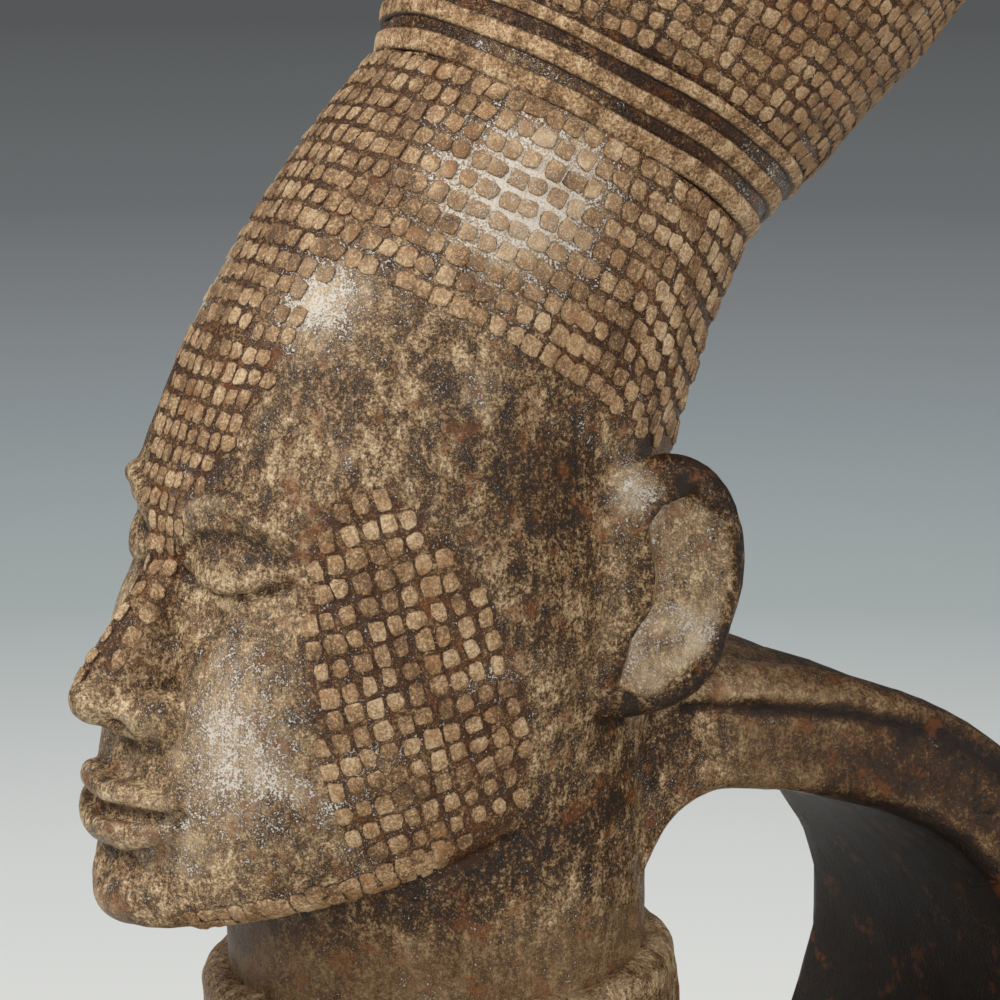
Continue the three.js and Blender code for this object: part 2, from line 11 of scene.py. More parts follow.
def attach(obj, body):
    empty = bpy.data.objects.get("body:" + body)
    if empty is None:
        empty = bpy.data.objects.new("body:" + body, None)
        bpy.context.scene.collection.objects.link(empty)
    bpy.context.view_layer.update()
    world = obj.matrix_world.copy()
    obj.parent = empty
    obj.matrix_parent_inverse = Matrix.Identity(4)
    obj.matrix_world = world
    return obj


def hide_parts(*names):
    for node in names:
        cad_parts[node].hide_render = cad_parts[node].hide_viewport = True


# A hand-built wine vessel of burnished clay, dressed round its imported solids.
# Lengths are written in millimetres and scaled to metres where a mesh is made.

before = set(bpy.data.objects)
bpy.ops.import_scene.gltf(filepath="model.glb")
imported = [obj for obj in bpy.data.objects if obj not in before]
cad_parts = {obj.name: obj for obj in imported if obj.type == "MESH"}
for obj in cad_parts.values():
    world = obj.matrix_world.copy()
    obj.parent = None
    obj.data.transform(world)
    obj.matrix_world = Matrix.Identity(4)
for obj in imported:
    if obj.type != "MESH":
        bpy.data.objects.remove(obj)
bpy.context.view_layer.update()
mm = 0.001
scene = bpy.context.scene
scene.view_settings.view_transform = "Standard"

# The skull leans back from the crown seam; the coiffure and its bands stand in that frame.
lean = {"seam": Vector((0, 17.7, 227.5)), "angle": math.radians(31)}
leanFrame = Matrix.Translation(lean["seam"]) @ Matrix.Rotation(-lean["angle"], 4, "X")
leanBack = leanFrame.inverted()


# camera and light

view = {
    "target": Vector((0, 9.24, 184)) * mm,
    "azimuth": 60,
    "elevation": 10.7,
    "distance": 500 * mm,
    "lens": 144,
    "sensor": 36,
    "clip": (0.01, 50),
}
studio = {
    "lamps": {  # azimuth, elevation, distance, size, power
        "left": (-18, 40, 1.0, 0.4, 7.0),
        "front": (70, 24, 1.2, 0.36, 6.2),
        "right": (140, 38, 1.1, 0.5, 2.6),
    },
    "ambient": 0.34,
    "softLight": "#e6e2dc",
    "backdrop": "#565859",
    "floorSize": 9.0,
    "floorFade": 4.0,
    "floorGlow": 0.8,
    # floor colour by distance from the object: a painted pool of light
    "floorLightPool": [(0.06, "#e9eae6"), (0.13, "#d3d5d3"), (0.2, "#a8b0b0"), (0.29, "#929a9d"),
                   (0.38, "#828688"), (0.49, "#707476"), (0.67, "#676a6b"), (0.91, "#5c5e5f")],
}


def placed(name, data):  # a new object in the scene
    made = bpy.data.objects.new(name, data)
    scene.collection.objects.link(made)
    return made


def aim(thing, azimuth, elevation, distance):  # stands it off from the target and turns it there
    a, e = math.radians(azimuth), math.radians(elevation)
    towards = Vector((math.sin(a) * math.cos(e), -math.cos(a) * math.cos(e), math.sin(e)))
    thing.location = view["target"] + towards * distance
    thing.rotation_euler = towards.to_track_quat("Z", "Y").to_euler()


def setCamera():
    lens = bpy.data.cameras.new("camera")
    lens.lens = view["lens"]
    lens.sensor_width = view["sensor"]
    lens.clip_start, lens.clip_end = view["clip"]
    scene.camera = placed("camera", lens)
    aim(scene.camera, view["azimuth"], view["elevation"], view["distance"])


def setLamps():
    for name, (azimuth, elevation, distance, size, power) in studio["lamps"].items():
        light = bpy.data.lights.new(name, "AREA")
        light.shape = "DISK"
        light.size = size
        light.energy = power
        aim(placed(name, light), azimuth, elevation, distance)


# node sums

def colour(code):
    parts = [int(code[i:i + 2], 16) / 255 for i in (1, 3, 5)]
    return [p / 12.92 if p <= 0.04045 else ((p + 0.055) / 1.055) ** 2.4 for p in parts] + [1.0]


class Wire:  # a socket's value, so that sums are written as sums
    def __init__(self, graph, socket):
        self.graph = graph
        self.socket = socket

    def maths(self, operation, *values):
        return self.graph.node("ShaderNodeMath", {"operation": operation}, dict(enumerate(values)))

    def __add__(self, other):
        return self.maths("ADD", self, other)

    def __sub__(self, other):
        return self.maths("SUBTRACT", self, other)

    def __rsub__(self, other):
        return self.maths("SUBTRACT", other, self)

    def __mul__(self, other):
        return self.maths("MULTIPLY", self, other)

    def __truediv__(self, other):
        return self.maths("DIVIDE", self, other)

    def __rtruediv__(self, other):
        return self.maths("DIVIDE", other, self)

    __radd__ = __add__
    __rmul__ = __mul__

    def least(self, other):
        return self.maths("MINIMUM", self, other)

    def most(self, other):
        return self.maths("MAXIMUM", self, other)

    def rise(self, low, high):  # 0 below low, 1 above high
        settings = {"interpolation_type": "SMOOTHSTEP"}
        return self.graph.node("ShaderNodeMapRange", settings, {0: self, 1: low, 2: high})


class Graph:  # one node tree
    def __init__(self, tree):
        self.tree = tree
        tree.nodes.clear()

    def node(self, kind, settings=None, values=None, out=0):
        made = self.tree.nodes.new(kind)
        for key, value in (settings or {}).items():
            setattr(made, key, value)
        for key, value in (values or {}).items():
            if isinstance(value, Wire):
                self.tree.links.new(value.socket, made.inputs[key])
            else:
                made.inputs[key].default_value = value
        return Wire(self, made.outputs[out]) if len(made.outputs) else None

    def tint(self, level, stops):
        tint = self.node("ShaderNodeValToRGB", None, {"Fac": level})
        elements = tint.socket.node.color_ramp.elements
        while len(elements) < len(stops):
            elements.new(0.5)
        for element, (at, shade) in zip(elements, stops):
            element.position = at
            element.color = colour(shade)
        return tint


class Glaze(Graph):  # one procedural material
    def __init__(self, name):
        self.material = bpy.data.materials.new(name)
        self.material.use_nodes = True
        super().__init__(self.material.node_tree)
        self.place = self.node("ShaderNodeTexCoord", out="Object")
        self.noises = {}

    def noise(self, name):
        if name not in self.noises:
            size, detail, roughness = mottles[name]
            where = self.place
            if name in stretches:
                where = self.node("ShaderNodeMapping", None, {"Vector": where, "Scale": stretches[name]})
            values = {"Vector": where, "Scale": 1 / (size * mm), "Detail": detail, "Roughness": roughness}
            self.noises[name] = self.node("ShaderNodeTexNoise", None, values)
        return self.noises[name]

    def mixture(self, **weights):  # the named noises, each times its weight
        level = 0
        for name, weight in weights.items():
            level = level + self.noise(name) * weight
        return level

    def marks(self, names):
        return [self.node("ShaderNodeAttribute", {"attribute_name": name}, out="Fac") for name in names]

    def blend(self, share, low, high):
        low, high = [colour(c) if isinstance(c, str) else c for c in (low, high)]
        return self.node("ShaderNodeMix", {"data_type": "RGBA"}, {0: share, 6: low, 7: high}, out=2)

    def bump(self, height, distance, strength=1.0, onto=None):
        values = {"Strength": strength, "Distance": distance * mm, "Height": height}
        if onto:
            values["Normal"] = onto
        return self.node("ShaderNodeBump", None, values)

    def finish(self, **sockets):
        named = {key.replace("_", " "): value for key, value in sockets.items()}
        surface = self.node("ShaderNodeBsdfPrincipled", None, named)
        self.node("ShaderNodeOutputMaterial", None, {"Surface": surface})
        return self.material


# clay finishes

mottles = {  # size, detail and roughness of each noise
    "broad": (16, 2, 0.55),
    "cloud": (11, 3, 0.55),
    "rust": (4, 4, 0.7),
    "patch": (2.6, 5, 0.7),
    "streak": (1.3, 3, 0.7),
    "speck": (0.5, 3, 0.75),
    "grain": (0.26, 2, 0.7),
    "padRust": (7, 4, 0.55),
    "padPatch": (5, 4, 0.65),
    "padSpeck": (0.45, 3, 0.75),
    "coilPatch": (3, 5, 0.7),
}
stretches = {"streak": (1, 1, 0.28)}  # drawn down by the burnisher
shades = {
    "burnished": [(0.52, "#1c0e03"), (0.57, "#41280e"), (0.603, "#6a4d2c"), (0.635, "#947855"),
                  (0.675, "#bfa37d"), (0.72, "#e2cca9")],
    "worn": [(0.41, "#49311a"), (0.46, "#815f3a"), (0.5, "#a57f56"), (0.54, "#c4a178"), (0.6, "#e2c9a3")],
    "rust": "#7d4415",
    "padRust": "#a8703f",
    "padFoot": "#3d230e",
    "coilFoot": "#4a3520",
    # colours of painted glints and highlights, on the clay and on the pads
    "shine": "#ebe1d2",
    "padShine": "#e4d8c4",
}
middling = {"burnished": 0.607, "pad": 0.478}  # the level that calm clay keeps to


def burnishedClay():  # marks: rubbed edges, painted shade in creases and between pads, burnish with painted highlights, painted shade, calm
    g = Glaze("burnishedClay")
    worn, padded, burnishAndHighlight, shadeAndDark, calm = g.marks(("worn", "padded", "burnishAndHighlight", "shadeAndDark", "calm"))
    between = padded * (1 - burnishAndHighlight)
    level = g.mixture(patch=0.36, speck=0.36, grain=0.24, streak=0.14, broad=0.12)
    level = level + calm * 0.42 * (middling["burnished"] - level)
    # painted shade: creases, the shade mark and the ground between pads darker; rubbed edges a little lighter
    level = level + worn * 0.02 - shadeAndDark * 0.08 - between * 0.045
    rusty = g.noise("rust").rise(0.55, 0.66) * 0.55 + between * 0.15
    ground = g.blend(rusty, g.tint(level, shades["burnished"]), shades["rust"])
    # painted glints and highlights: near-white specks over the burnished grey, fewer in painted shade
    glintGrain = g.mixture(speck=0.35, grain=0.4, patch=0.25)
    glintShare = (burnishAndHighlight + g.noise("cloud").rise(0.54, 0.7) * 0.3) * 0.17 + 0.458 - glintGrain - shadeAndDark * 0.07
    skin = g.blend(glintShare.rise(0.02, 0.11) * 0.88, ground, shades["shine"])
    gloss = level.rise(0.57, 0.68) * 0.3 + shadeAndDark.rise(0.9, 1.7) * 0.16 + 0.24
    pits = g.bump(g.noise("grain"), 0.2, 1.0, g.bump(g.mixture(speck=1.0, patch=0.6), 0.3, 0.9))
    return g.finish(Base_Color=skin, Roughness=gloss, Normal=pits, IOR=1.42)


def padClay():
    g = Glaze("padClay")
    tone, rise, shine, calm = g.marks(("padTone", "padRise", "padShine", "padCalm"))
    speck = g.noise("padSpeck")
    level = g.mixture(padPatch=0.32, padSpeck=0.36, grain=0.27) + tone * 0.05
    level = level + calm * 0.5 * (middling["pad"] - level)
    rusty = g.noise("padRust").rise(0.54, 0.7) * 0.45
    top = g.blend(rusty, g.tint(level, shades["worn"]), shades["padRust"])
    body = g.blend((rise + (speck - 0.5)).rise(0.2, 0.75), shades["padFoot"], top)
    # painted glints and highlights on the pads
    glintShare = shine * 0.14 + 0.44 - g.mixture(padSpeck=0.5, grain=0.5)
    body = g.blend(glintShare.rise(0.02, 0.12) * 0.7, body, shades["padShine"])
    bumped = g.bump(g.noise("grain"), 0.22, 1.0, g.bump(speck, 0.3, 1.0))
    return g.finish(Base_Color=body, Roughness=0.58 - shine * 0.25, Normal=bumped, IOR=1.5)


def coilClay():
    g = Glaze("coilClay")
    crest, drag = g.marks(("crest", "drag"))
    top = g.tint(g.mixture(coilPatch=0.36, padSpeck=0.34, grain=0.25) + drag * 0.05, shades["worn"])
    share = (crest + (g.noise("padSpeck") - 0.5) * 0.9).rise(0.25, 0.8)
    skin = g.blend(share, shades["coilFoot"], top)
    dragged = g.bump(g.mixture(padSpeck=0.9, coilPatch=0.4) + drag * 0.2, 0.3, 0.9)
    bumped = g.bump(g.noise("grain"), 0.22, 1.0, dragged)
    rough = crest.rise(0.15, 0.6) * 0.3 + 0.36
    return g.finish(Base_Color=skin, Roughness=rough, Normal=bumped, IOR=1.5)


# mesh helpers

def addMesh(name, points, faces):
    data = bpy.data.meshes.new(name)
    data.from_pydata([tuple(p) for p in np.asarray(points) * mm], [], faces)
    data.update()
    data.shade_smooth()
    return placed(name, data)


def addMarks(data, marks, kind="FLOAT"):
    for key, values in marks.items():
        layer = data.attributes.new(key, kind, "POINT")
        values = np.asarray(values, np.float32).ravel()
        layer.data.foreach_set("value" if kind == "FLOAT" else "vector", values)


def settled(piece, name):  # the piece with its modifiers applied
    graph = bpy.context.evaluated_depsgraph_get()
    graph.update()
    data = bpy.data.meshes.new_from_object(piece.evaluated_get(graph), depsgraph=graph)
    old = piece.data
    bpy.data.objects.remove(piece)
    bpy.data.meshes.remove(old)
    data.name = name
    return placed(name, data)


def read(items, key, width, kind=np.float32):  # an array with one row for each item
    flat = np.empty(len(items) * width, kind)
    items.foreach_get(key, flat)
    return flat.reshape(-1, width)


def pointsOf(piece):
    return read(piece.data.vertices, "co", 3).astype(float) / mm


def normalsOf(piece):
    return read(piece.data.vertices, "normal", 3).astype(float)


def movePoints(piece, points):
    piece.data.vertices.foreach_set("co", (points * mm).astype(np.float32).ravel())
    piece.data.update()


def neighbourMean(values, edges, counts):
    total = np.zeros_like(values)
    for k in range(values.shape[1]):
        total[:, k] += np.bincount(edges[:, 0], values[edges[:, 1], k], len(values))
        total[:, k] += np.bincount(edges[:, 1], values[edges[:, 0], k], len(values))
    return total / counts[:, None]


def relax(points, edges, rounds, share=0.6, weight=None):  # smooths without shrinking
    counts = np.maximum(np.bincount(edges.ravel(), minlength=len(points)), 1)
    weight = np.ones(len(points)) if weight is None else weight
    for _ in range(rounds):
        for step in (share, -share * 0.96):
            points = points + (neighbourMean(points, edges, counts) - points) * step * weight[:, None]
    return points


def waves(points, size, seed, count=12):  # a soft random field from -1 to 1
    draw = np.random.default_rng(seed)
    ways = draw.normal(size=(count, 3))
    ways /= np.linalg.norm(ways, axis=1)[:, None]
    steps = ways * (2 * math.pi / size) * draw.uniform(0.6, 1.5, count)[:, None]
    return np.sin(points @ steps.T + draw.uniform(0, 7, count)).sum(1) / (0.9 * math.sqrt(count) * 1.6)


def rumple(piece, swells, share=1.0, extra=0.0, points=None):  # size, seed and height of each swell
    points = pointsOf(piece) if points is None else points
    lift = sum(waves(points, size, seed) * height for size, seed, height in swells) + extra
    points = points + normalsOf(piece) * (lift * share)[:, None]
    movePoints(piece, points)
    return points


def ramp(values, low, high):  # 0 to 1, falling where low is above high
    share = np.clip((np.asarray(values, float) - low) / (high - low), 0, 1)
    return share * share * (3 - 2 * share)


def hill(distance, spread):
    return np.exp(-((distance / spread) ** 2))


def circle(count):
    return np.arange(count) / count * 2 * math.pi


def tubeFaces(count, gaps, total):  # quads between rings of count points
    faces = []
    for r in range(gaps):
        here, there = r * count, (r + 1) % total * count
        for i in range(count):
            j = (i + 1) % count
            faces.append((here + i, here + j, there + j, there + i))
    return faces


def ringMesh(rings):  # closed tube of rings, the last joined to the first
    return np.concatenate(rings), tubeFaces(len(rings[0]), len(rings), len(rings))


def cappedMesh(rings):  # a closed tube whose ends are fans round their middles
    rings = np.asarray(rings)
    total, count = rings.shape[:2]
    points = np.concatenate([rings.reshape(-1, 3), rings[[0, -1]].mean(1)])
    faces = tubeFaces(count, total - 1, total)
    for i in range(count):
        j = (i + 1) % count
        faces.append((j, i, total * count))
        faces.append(((total - 1) * count + i, (total - 1) * count + j, total * count + 1))
    return points, faces


def aboutAxis(radius, height, angles):
    return np.stack([radius * np.sin(angles), -radius * np.cos(angles), height + angles * 0], 1)


def inFrame(points, matrix):
    return np.asarray(points) @ np.array(matrix.to_3x3()).T + np.array(matrix.translation)


def shell(name, rings, stand, finish):  # a closed tube in its frame, with its faces turned out
    points, faces = ringMesh(rings)
    piece = addMesh(name, inFrame(points, stand), faces)
    piece.data.materials.append(finishes[finish])
    sheet = bmesh.new()
    sheet.from_mesh(piece.data)
    bmesh.ops.recalc_face_normals(sheet, faces=sheet.faces)
    if sheet.calc_volume(signed=True) < 0:
        bmesh.ops.reverse_faces(sheet, faces=sheet.faces)
    sheet.to_mesh(piece.data)
    sheet.free()
    piece.data.update()
    return piece


def turned(name, profile, segments, stand, finish):  # profile of (radius, height), run outside upwards
    rings = [aboutAxis(radius, height, circle(segments)) for radius, height in profile]
    return shell(name, rings, stand, finish)


def dress(piece, slot, *nodes):
    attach(piece, "root")
    if nodes:
        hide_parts(*nodes)
    print("made", piece.name, len(piece.data.polygons), "faces")
    return piece


belly = {
    "baseRadius": 34,
    "bellyRadius": 74,
    "bellyHeight": 54,
    "shoulderHeight": 113,
    "seatRadius": 31,
    "bore": 21,
    "wall": 6,
    "floorWall": 8,
    "segments": 180,
    "swells": ((40, 51, 0.7), (14, 52, 0.25)),
}


# the head's form, from the same sizes as its solids

form = {
    "wall": 6,
    "neckRadius": 27,
    "jawHeight": 151,
    "jawSlope": math.radians(20),
    "crownRadius": 25.8,
    "napeHollow": 5,
    "foreheadBulge": 4.5,
    "jawRound": 7,
    "jawRoundTo": 0.17,
    "faceLength": 78,
    "faceWidth": 62,
    "jawWidth": 56,
    "templeWidth": 60,
    "faceLean": math.radians(9),
    "chin": np.array([-43.5, 135.5]),
    "levels": 190,
    "cavityLevels": 40,
    "turns": 240,
}
bore = form["neckRadius"] - form["wall"]
crownSeam = np.array([lean["seam"].y, lean["seam"].z])
faceUp = np.array([math.sin(form["faceLean"]), math.cos(form["faceLean"])])
faceAhead = np.array([-math.cos(form["faceLean"]), math.sin(form["faceLean"])])


def splineAt(knots, t):  # a smooth line through equally spaced knots, t from 0 to 1
    knots = np.asarray(knots, float)
    last = len(knots) - 1
    place = np.clip(np.asarray(t, float), 0, 1) * last
    i = np.minimum(place.astype(int), last - 1)
    w = (place - i)[..., None]
    p0, p1, p2, p3 = (knots[np.clip(i + k, 0, last)] for k in (-1, 0, 1, 2))
    v0, v1 = (p2 - p0) / 2, (p3 - p1) / 2
    return (2 * p1 - 2 * p2 + v0 + v1) * w ** 3 + (3 * p2 - 3 * p1 - 2 * v0 - v1) * w ** 2 + v0 * w + p1


def jawPlaneAt(y):
    return form["jawHeight"] + y * math.tan(form["jawSlope"])


def onProfile(share, out):
    return form["chin"] + faceUp * share * form["faceLength"] + faceAhead * out


def bowed(start, end, share, height):  # a point between two ends, bowed to the left of the line
    line = end - start
    left = np.array([-line[1], line[0]]) / np.linalg.norm(line)
    return start + line * share + left * height * math.sin(share * math.pi)


def skullRails():
    forward = np.array([-math.cos(lean["angle"]), math.sin(lean["angle"])])
    crownFront = crownSeam + forward * form["crownRadius"]
    crownBack = crownSeam - forward * form["crownRadius"]
    napeFoot = np.array([form["neckRadius"], jawPlaneAt(form["neckRadius"])])
    browPoint = onProfile(2 / 3, 1.5)
    underChin = np.array([form["chin"][0] + 4, jawPlaneAt(form["chin"][0] + 4)])
    crownWidth = 2 * form["crownRadius"]
    temple = form["templeWidth"]

    def onForehead(share):
        return bowed(browPoint, crownFront, share, form["foreheadBulge"])

    def onNape(share):
        return bowed(napeFoot, crownBack, share, form["napeHollow"])

    front = [underChin, onProfile(0.07, 0), onProfile(1 / 3, 0.5), browPoint,
             onForehead(0.36), onForehead(0.72), crownFront]
    back = [onNape(share) for share in (0, 0.09, 0.3, 0.56, 0.74, 0.88)] + [crownBack]
    width = [form["jawWidth"], form["jawWidth"] + 2, form["faceWidth"], temple,
             temple + (crownWidth - temple) * 0.25, temple + (crownWidth - temple) * 0.7, crownWidth]
    return front, back, [[w] for w in width]


frontRail, backRail, widthRail = skullRails()


def section(t):
    front, back = splineAt(frontRail, t), splineAt(backRail, t)
    forward = front - back
    length = np.linalg.norm(forward, axis=-1)
    return {
        "middle": (front + back) / 2,
        "depth": length / 2,
        "forward": forward / length[..., None],
        "half": splineAt(widthRail, t)[..., 0] / 2,
        "v": (front - form["chin"]) @ faceUp,
    }


# soft forms: place across, its spread, share of the face length and its spread, height
reliefs = (
    (form["faceWidth"] / 5, 7.5, 0.56, 0.085, -3.2),
    (form["faceWidth"] / 5 * 0.8, 9, 0.67, 0.045, 1.3),
    (form["faceWidth"] * 0.33, 8, 0.41, 0.1, 1.8),
    (0, 13, 0.23, 0.1, 3.4),
    (0, 9, 0.075, 0.07, 3.4),
    (0, 9, 0.15, 0.03, -1.4),
)


def relief(x, v):
    length = form["faceLength"]
    return sum(height * hill(np.abs(x) - across, spread) * hill(v - share * length, tall * length)
               for across, spread, share, tall, height in reliefs)


def fullness(v):
    return 2 + 0.35 * ramp(v, 0, 20) * (1 - ramp(v, 55, 95))


def skullPoints(t, turn, grow=0.0):
    s = section(t)
    sine, cosine = np.sin(turn), np.cos(turn)
    power = np.where(cosine > 0, 2 / fullness(s["v"]), 1)
    across = np.sign(sine) * np.abs(sine) ** power
    along = np.sign(cosine) * np.abs(cosine) ** power
    lift = relief(s["half"] * across, s["v"]) * ramp(cosine, 0, 0.5) + grow
    x = s["half"] * across + lift * sine
    reach = s["depth"] * along + lift * cosine
    flat = s["middle"] + s["forward"] * reach[..., None]
    return np.concatenate([x[..., None], flat], -1)


def headSkin():  # outer skin from the jaw plane to the crown, then the cavity back down
    even = np.linspace(-math.pi, math.pi, form["turns"], endpoint=False)
    turns = (even - 0.35 * np.sin(even))[None, :]
    t = (np.linspace(0, 1, form["levels"]) ** 1.15)[:, None]
    share = np.clip(1 - t / form["jawRoundTo"], 0, 1)
    rounding = 1 - np.sqrt(1 - share ** 2)
    sharp = skullPoints(t + turns * 0, turns + t * 0)
    overhang = np.maximum(0, np.hypot(sharp[..., 0], sharp[..., 1]) - form["neckRadius"])
    inset = np.minimum(form["jawRound"], 0.8 * overhang) * rounding
    outer = skullPoints(t + turns * 0, turns + t * 0, -inset)
    down = np.linspace(1, 0, form["cavityLevels"])[:, None]
    s = section(down + turns * 0)
    y = -bore * np.cos(turns) + down * 0
    foot = np.stack([bore * np.sin(turns) + down * 0, y, jawPlaneAt(y)], -1)
    reach = (s["depth"] - form["wall"]) * np.cos(turns)
    inside = np.concatenate([((s["half"] - form["wall"]) * np.sin(turns))[..., None],
                             s["middle"] + s["forward"] * reach[..., None]], -1)
    rise = ramp(down, 0, 0.22)[..., None]
    return ringMesh([*outer, *(foot * (1 - rise) + inside * rise)])


levelTable = np.linspace(0, 1, 400)
heightTable = section(levelTable)["v"]


def onFace(x, v):  # the skin at x across and v above the chin, with its normal
    x, v = np.broadcast_arrays(np.asarray(x, float), np.asarray(v, float))
    t = np.interp(v, heightTable, levelTable)

    def at(t, x):
        s = section(t)
        share = np.minimum(1, np.abs(x) / s["half"])
        return skullPoints(t, np.sign(x) * np.arcsin(share ** (fullness(s["v"]) / 2)))

    point = at(t, x)
    normal = np.cross(at(t, x + 0.3) - point, at(t + 0.004, x) - point)
    return point, normal / np.linalg.norm(normal, axis=-1)[..., None]


def bead(x, v, width, proud, sides=20, sunk=2.5, bluntness=1.0):  # a roll of clay laid on the face
    point, normal = onFace(x, v)
    side = np.cross(np.gradient(point, axis=0), normal)
    side /= np.linalg.norm(side, axis=1)[:, None]
    turn = circle(sides)
    sine = np.sin(turn)
    rise = np.where(sine > 0, np.abs(sine) ** bluntness * proud[:, None], sine * sunk)
    across = np.cos(turn) * width[:, None] / 2
    return cappedMesh(point[:, None] + side[:, None] * across[..., None] + normal[:, None] * rise[..., None])


face = {
    "eyeAcross": form["faceWidth"] / 5,
    "eyeLevel": 0.575 * form["faceLength"],
    "eyeWidth": 14.5,
    "lidProud": 2.7,
    "browLevel": form["faceLength"] * 2 / 3,
    "browWidth": 2.6,
    "browProud": 1.05,
    "noseLevel": form["faceLength"] / 3,
    "noseWidth": 12.5,
    "noseProud": 9.5,
    "mouthLevel": form["faceLength"] * 2 / 9,
    "mouthWidth": 22,
    "lipProud": 2.7,
    "upperLip": 4,
    "lowerLip": 4.7,
}


def makeNose():
    s = np.linspace(0, 1, 44)
    root, base = face["browLevel"] - 1.5, face["noseLevel"] - 1.2
    tipFall = np.sqrt(np.clip(1 - ((s - 0.86) / 0.15).clip(0) ** 2, 0.02, 1))
    width = face["noseWidth"] * (0.42 + 0.5 * s ** 1.7) * (0.35 + 0.65 * tipFall)
    proud = face["noseProud"] * (1.25 * ramp(s, -0.1, 0.86) - 0.25) * tipFall
    parts = [bead(s * 0 + 0.001, root + (base - root) * s, width, proud, 32, 4)]
    for side in (-1, 1):
        point, normal = onFace(side * face["noseWidth"] * 0.4, face["noseLevel"] + 2.2)
        parts.append(ball(point + normal * 0.9, (2.9, 4.6, 3.0)))
        parts.append(ball(point + normal * 2.2 - np.array([side * 1.6, 0, -0.3]), (3.0, 4.2, 2.8)))
    point, normal = onFace(0.001, face["noseLevel"] + 2.6)
    parts.append(ball(point + normal * (face["noseProud"] - 3.4), (3.5, 3.6, 3.3)))
    return parts


def ball(middle, radii, count=28):
    turn = circle(count)
    x, y, z = radii
    rings = []
    for a in np.linspace(0.12, math.pi - 0.12, count // 2):
        ring = [x * math.sin(a) * np.cos(turn), y * math.sin(a) * np.sin(turn), z * math.cos(a) + turn * 0]
        rings.append(np.stack(ring, 1) + middle)
    return cappedMesh(rings[::-1])


def makeLips():
    s = np.linspace(0, 1, 60)
    arc = np.sin(s * math.pi)
    taper = np.maximum(0.1, arc ** 0.7)
    parts = []
    for away, height in ((1, face["upperLip"]), (-1, face["lowerLip"])):
        across = -face["mouthWidth"] / 2 * np.cos(s * math.pi)
        bow = height / 2 * arc ** 0.8 + 0.15
        dip = 0.75 * hill(across, 1.8) if away > 0 else 0
        level = face["mouthLevel"] + away * bow - dip * 0.5
        parts.append(bead(across, level, height * taper - dip, face["lipProud"] * taper, 24, 2.5, 0.85))
    return parts


def makeBrow(side):
    s = np.linspace(0, 1, 40)
    across = side * face["eyeAcross"] * (0.42 + 1.3 * s)
    arch = 0.045 * np.sin(math.pi * np.minimum(1, s * 0.95 + 0.12)) - 0.012
    taper = np.maximum(0.12, np.sin(s * math.pi) ** 0.45)
    return bead(across, face["browLevel"] + form["faceLength"] * arch, face["browWidth"] * taper,
                face["browProud"] * taper, 20, 2)


def makeLid(side):
    point, normal = onFace(side * face["eyeAcross"], face["eyeLevel"])
    across = np.cross([0, 0, 1], normal)
    across /= np.linalg.norm(across)
    up = np.cross(normal, across)
    turn = circle(48)
    rings = []
    for a in np.linspace(0.04, 0.5 * math.pi, 16):
        reach, height = math.sin(a), math.cos(a)
        outline = across * (face["eyeWidth"] / 2 * reach * np.cos(turn))[:, None]
        outline = outline + up * (face["eyeWidth"] * 0.36 * reach * np.sin(turn))[:, None]
        rings.append(point + outline + normal * ((face["lidProud"] + 1.4) * height - 1.4))
    rings.append(rings[-1] * 0.1 + (point - normal * 1.6) * 0.9)
    return cappedMesh(rings[::-1])


ear = {
    "height": 32,
    "depth": 24,
    "rise": 27,
    "setback": 11.3,
    "rim": 2.2,
    "root": 8,
    "lean": math.radians(10),
    "turn": math.radians(65),
    "corner": 0.7,
    "scoop": 3.9,
    "lip": 0.1,
    "carved": -6.5,  # what lies further in than this stays as it is
    # height over the ear's middle, and where the hollow's front edge stands there
    "edge": ((-13, 1.5), (-12.1, -1.1), (-10.2, -0.6), (-6.5, -0.2), (-2.4, 1.7), (0.9, 1.3),
             (7.4, -0.7), (9.8, 0.5), (11.2, 3.3)),
}


def earAxes(side):
    backwards = np.array([side * math.cos(ear["turn"]), math.sin(ear["turn"]), 0])
    out = np.array([side * math.sin(ear["turn"]), -math.cos(ear["turn"]), 0])
    half = float(section(np.array(0.4))["half"])
    return backwards, out, np.array([side * half, ear["setback"], form["jawHeight"] + ear["rise"]])


def makeEar(side):
    backwards, out, middle = earAxes(side)
    rim, root = ear["rim"], ear["root"]
    levels = [(ear["depth"] * 0.36, -root), (rim * 1.6, -root * 0.8), (rim * 0.3, -root * 0.45),
              (0, -rim), (rim * 0.35, -rim * 0.25), (rim, 0), (rim * 1.6, -rim * 0.5),
              (rim * 2, -rim * 1.2), (rim * 3.2, -rim * 2)]
    turn = circle(90)
    towardsCorner = ramp(-np.sin(2 * turn), 0, 1) * (turn < math.pi)
    power = 1 + (ear["corner"] - 1) * towardsCorner
    sine, cosine = (np.sign(wave) * np.abs(wave) ** power for wave in (np.sin(turn), np.cos(turn)))
    rings = []
    for inset, rise in splineAt(levels, np.linspace(0, 1, 49)):
        up = (ear["height"] / 2 - inset) * cosine
        back = (ear["depth"] / 2 - inset) * sine + up * math.tan(ear["lean"])
        rings.append(middle + backwards * back[:, None] + out * rise + np.array([0, 0, 1]) * up[:, None])
    return cappedMesh(rings)


def earPlace(points, side):  # heights, places behind the middle, and how far the points stand out
    backwards, out, middle = earAxes(side)
    offset = points - middle
    up = offset[:, 2]
    return up, offset @ backwards - up * math.tan(ear["lean"]), offset @ out


def rimShare(up, back):  # share of the way from the ear's middle to its rim
    return np.hypot(up / (ear["height"] / 2), back / (ear["depth"] / 2))


def behindEdge(up, back):  # how far a place lies behind the hollow's front edge
    return back - np.interp(up, *zip(*ear["edge"]))


def hollowShare(up, back):
    limit = 0.88 - 0.16 * ramp(up, 6, 12)
    return ramp(behindEdge(up, back), -0.35, 0.35) * ramp(rimShare(up, back) - limit, 0.05, -0.05)


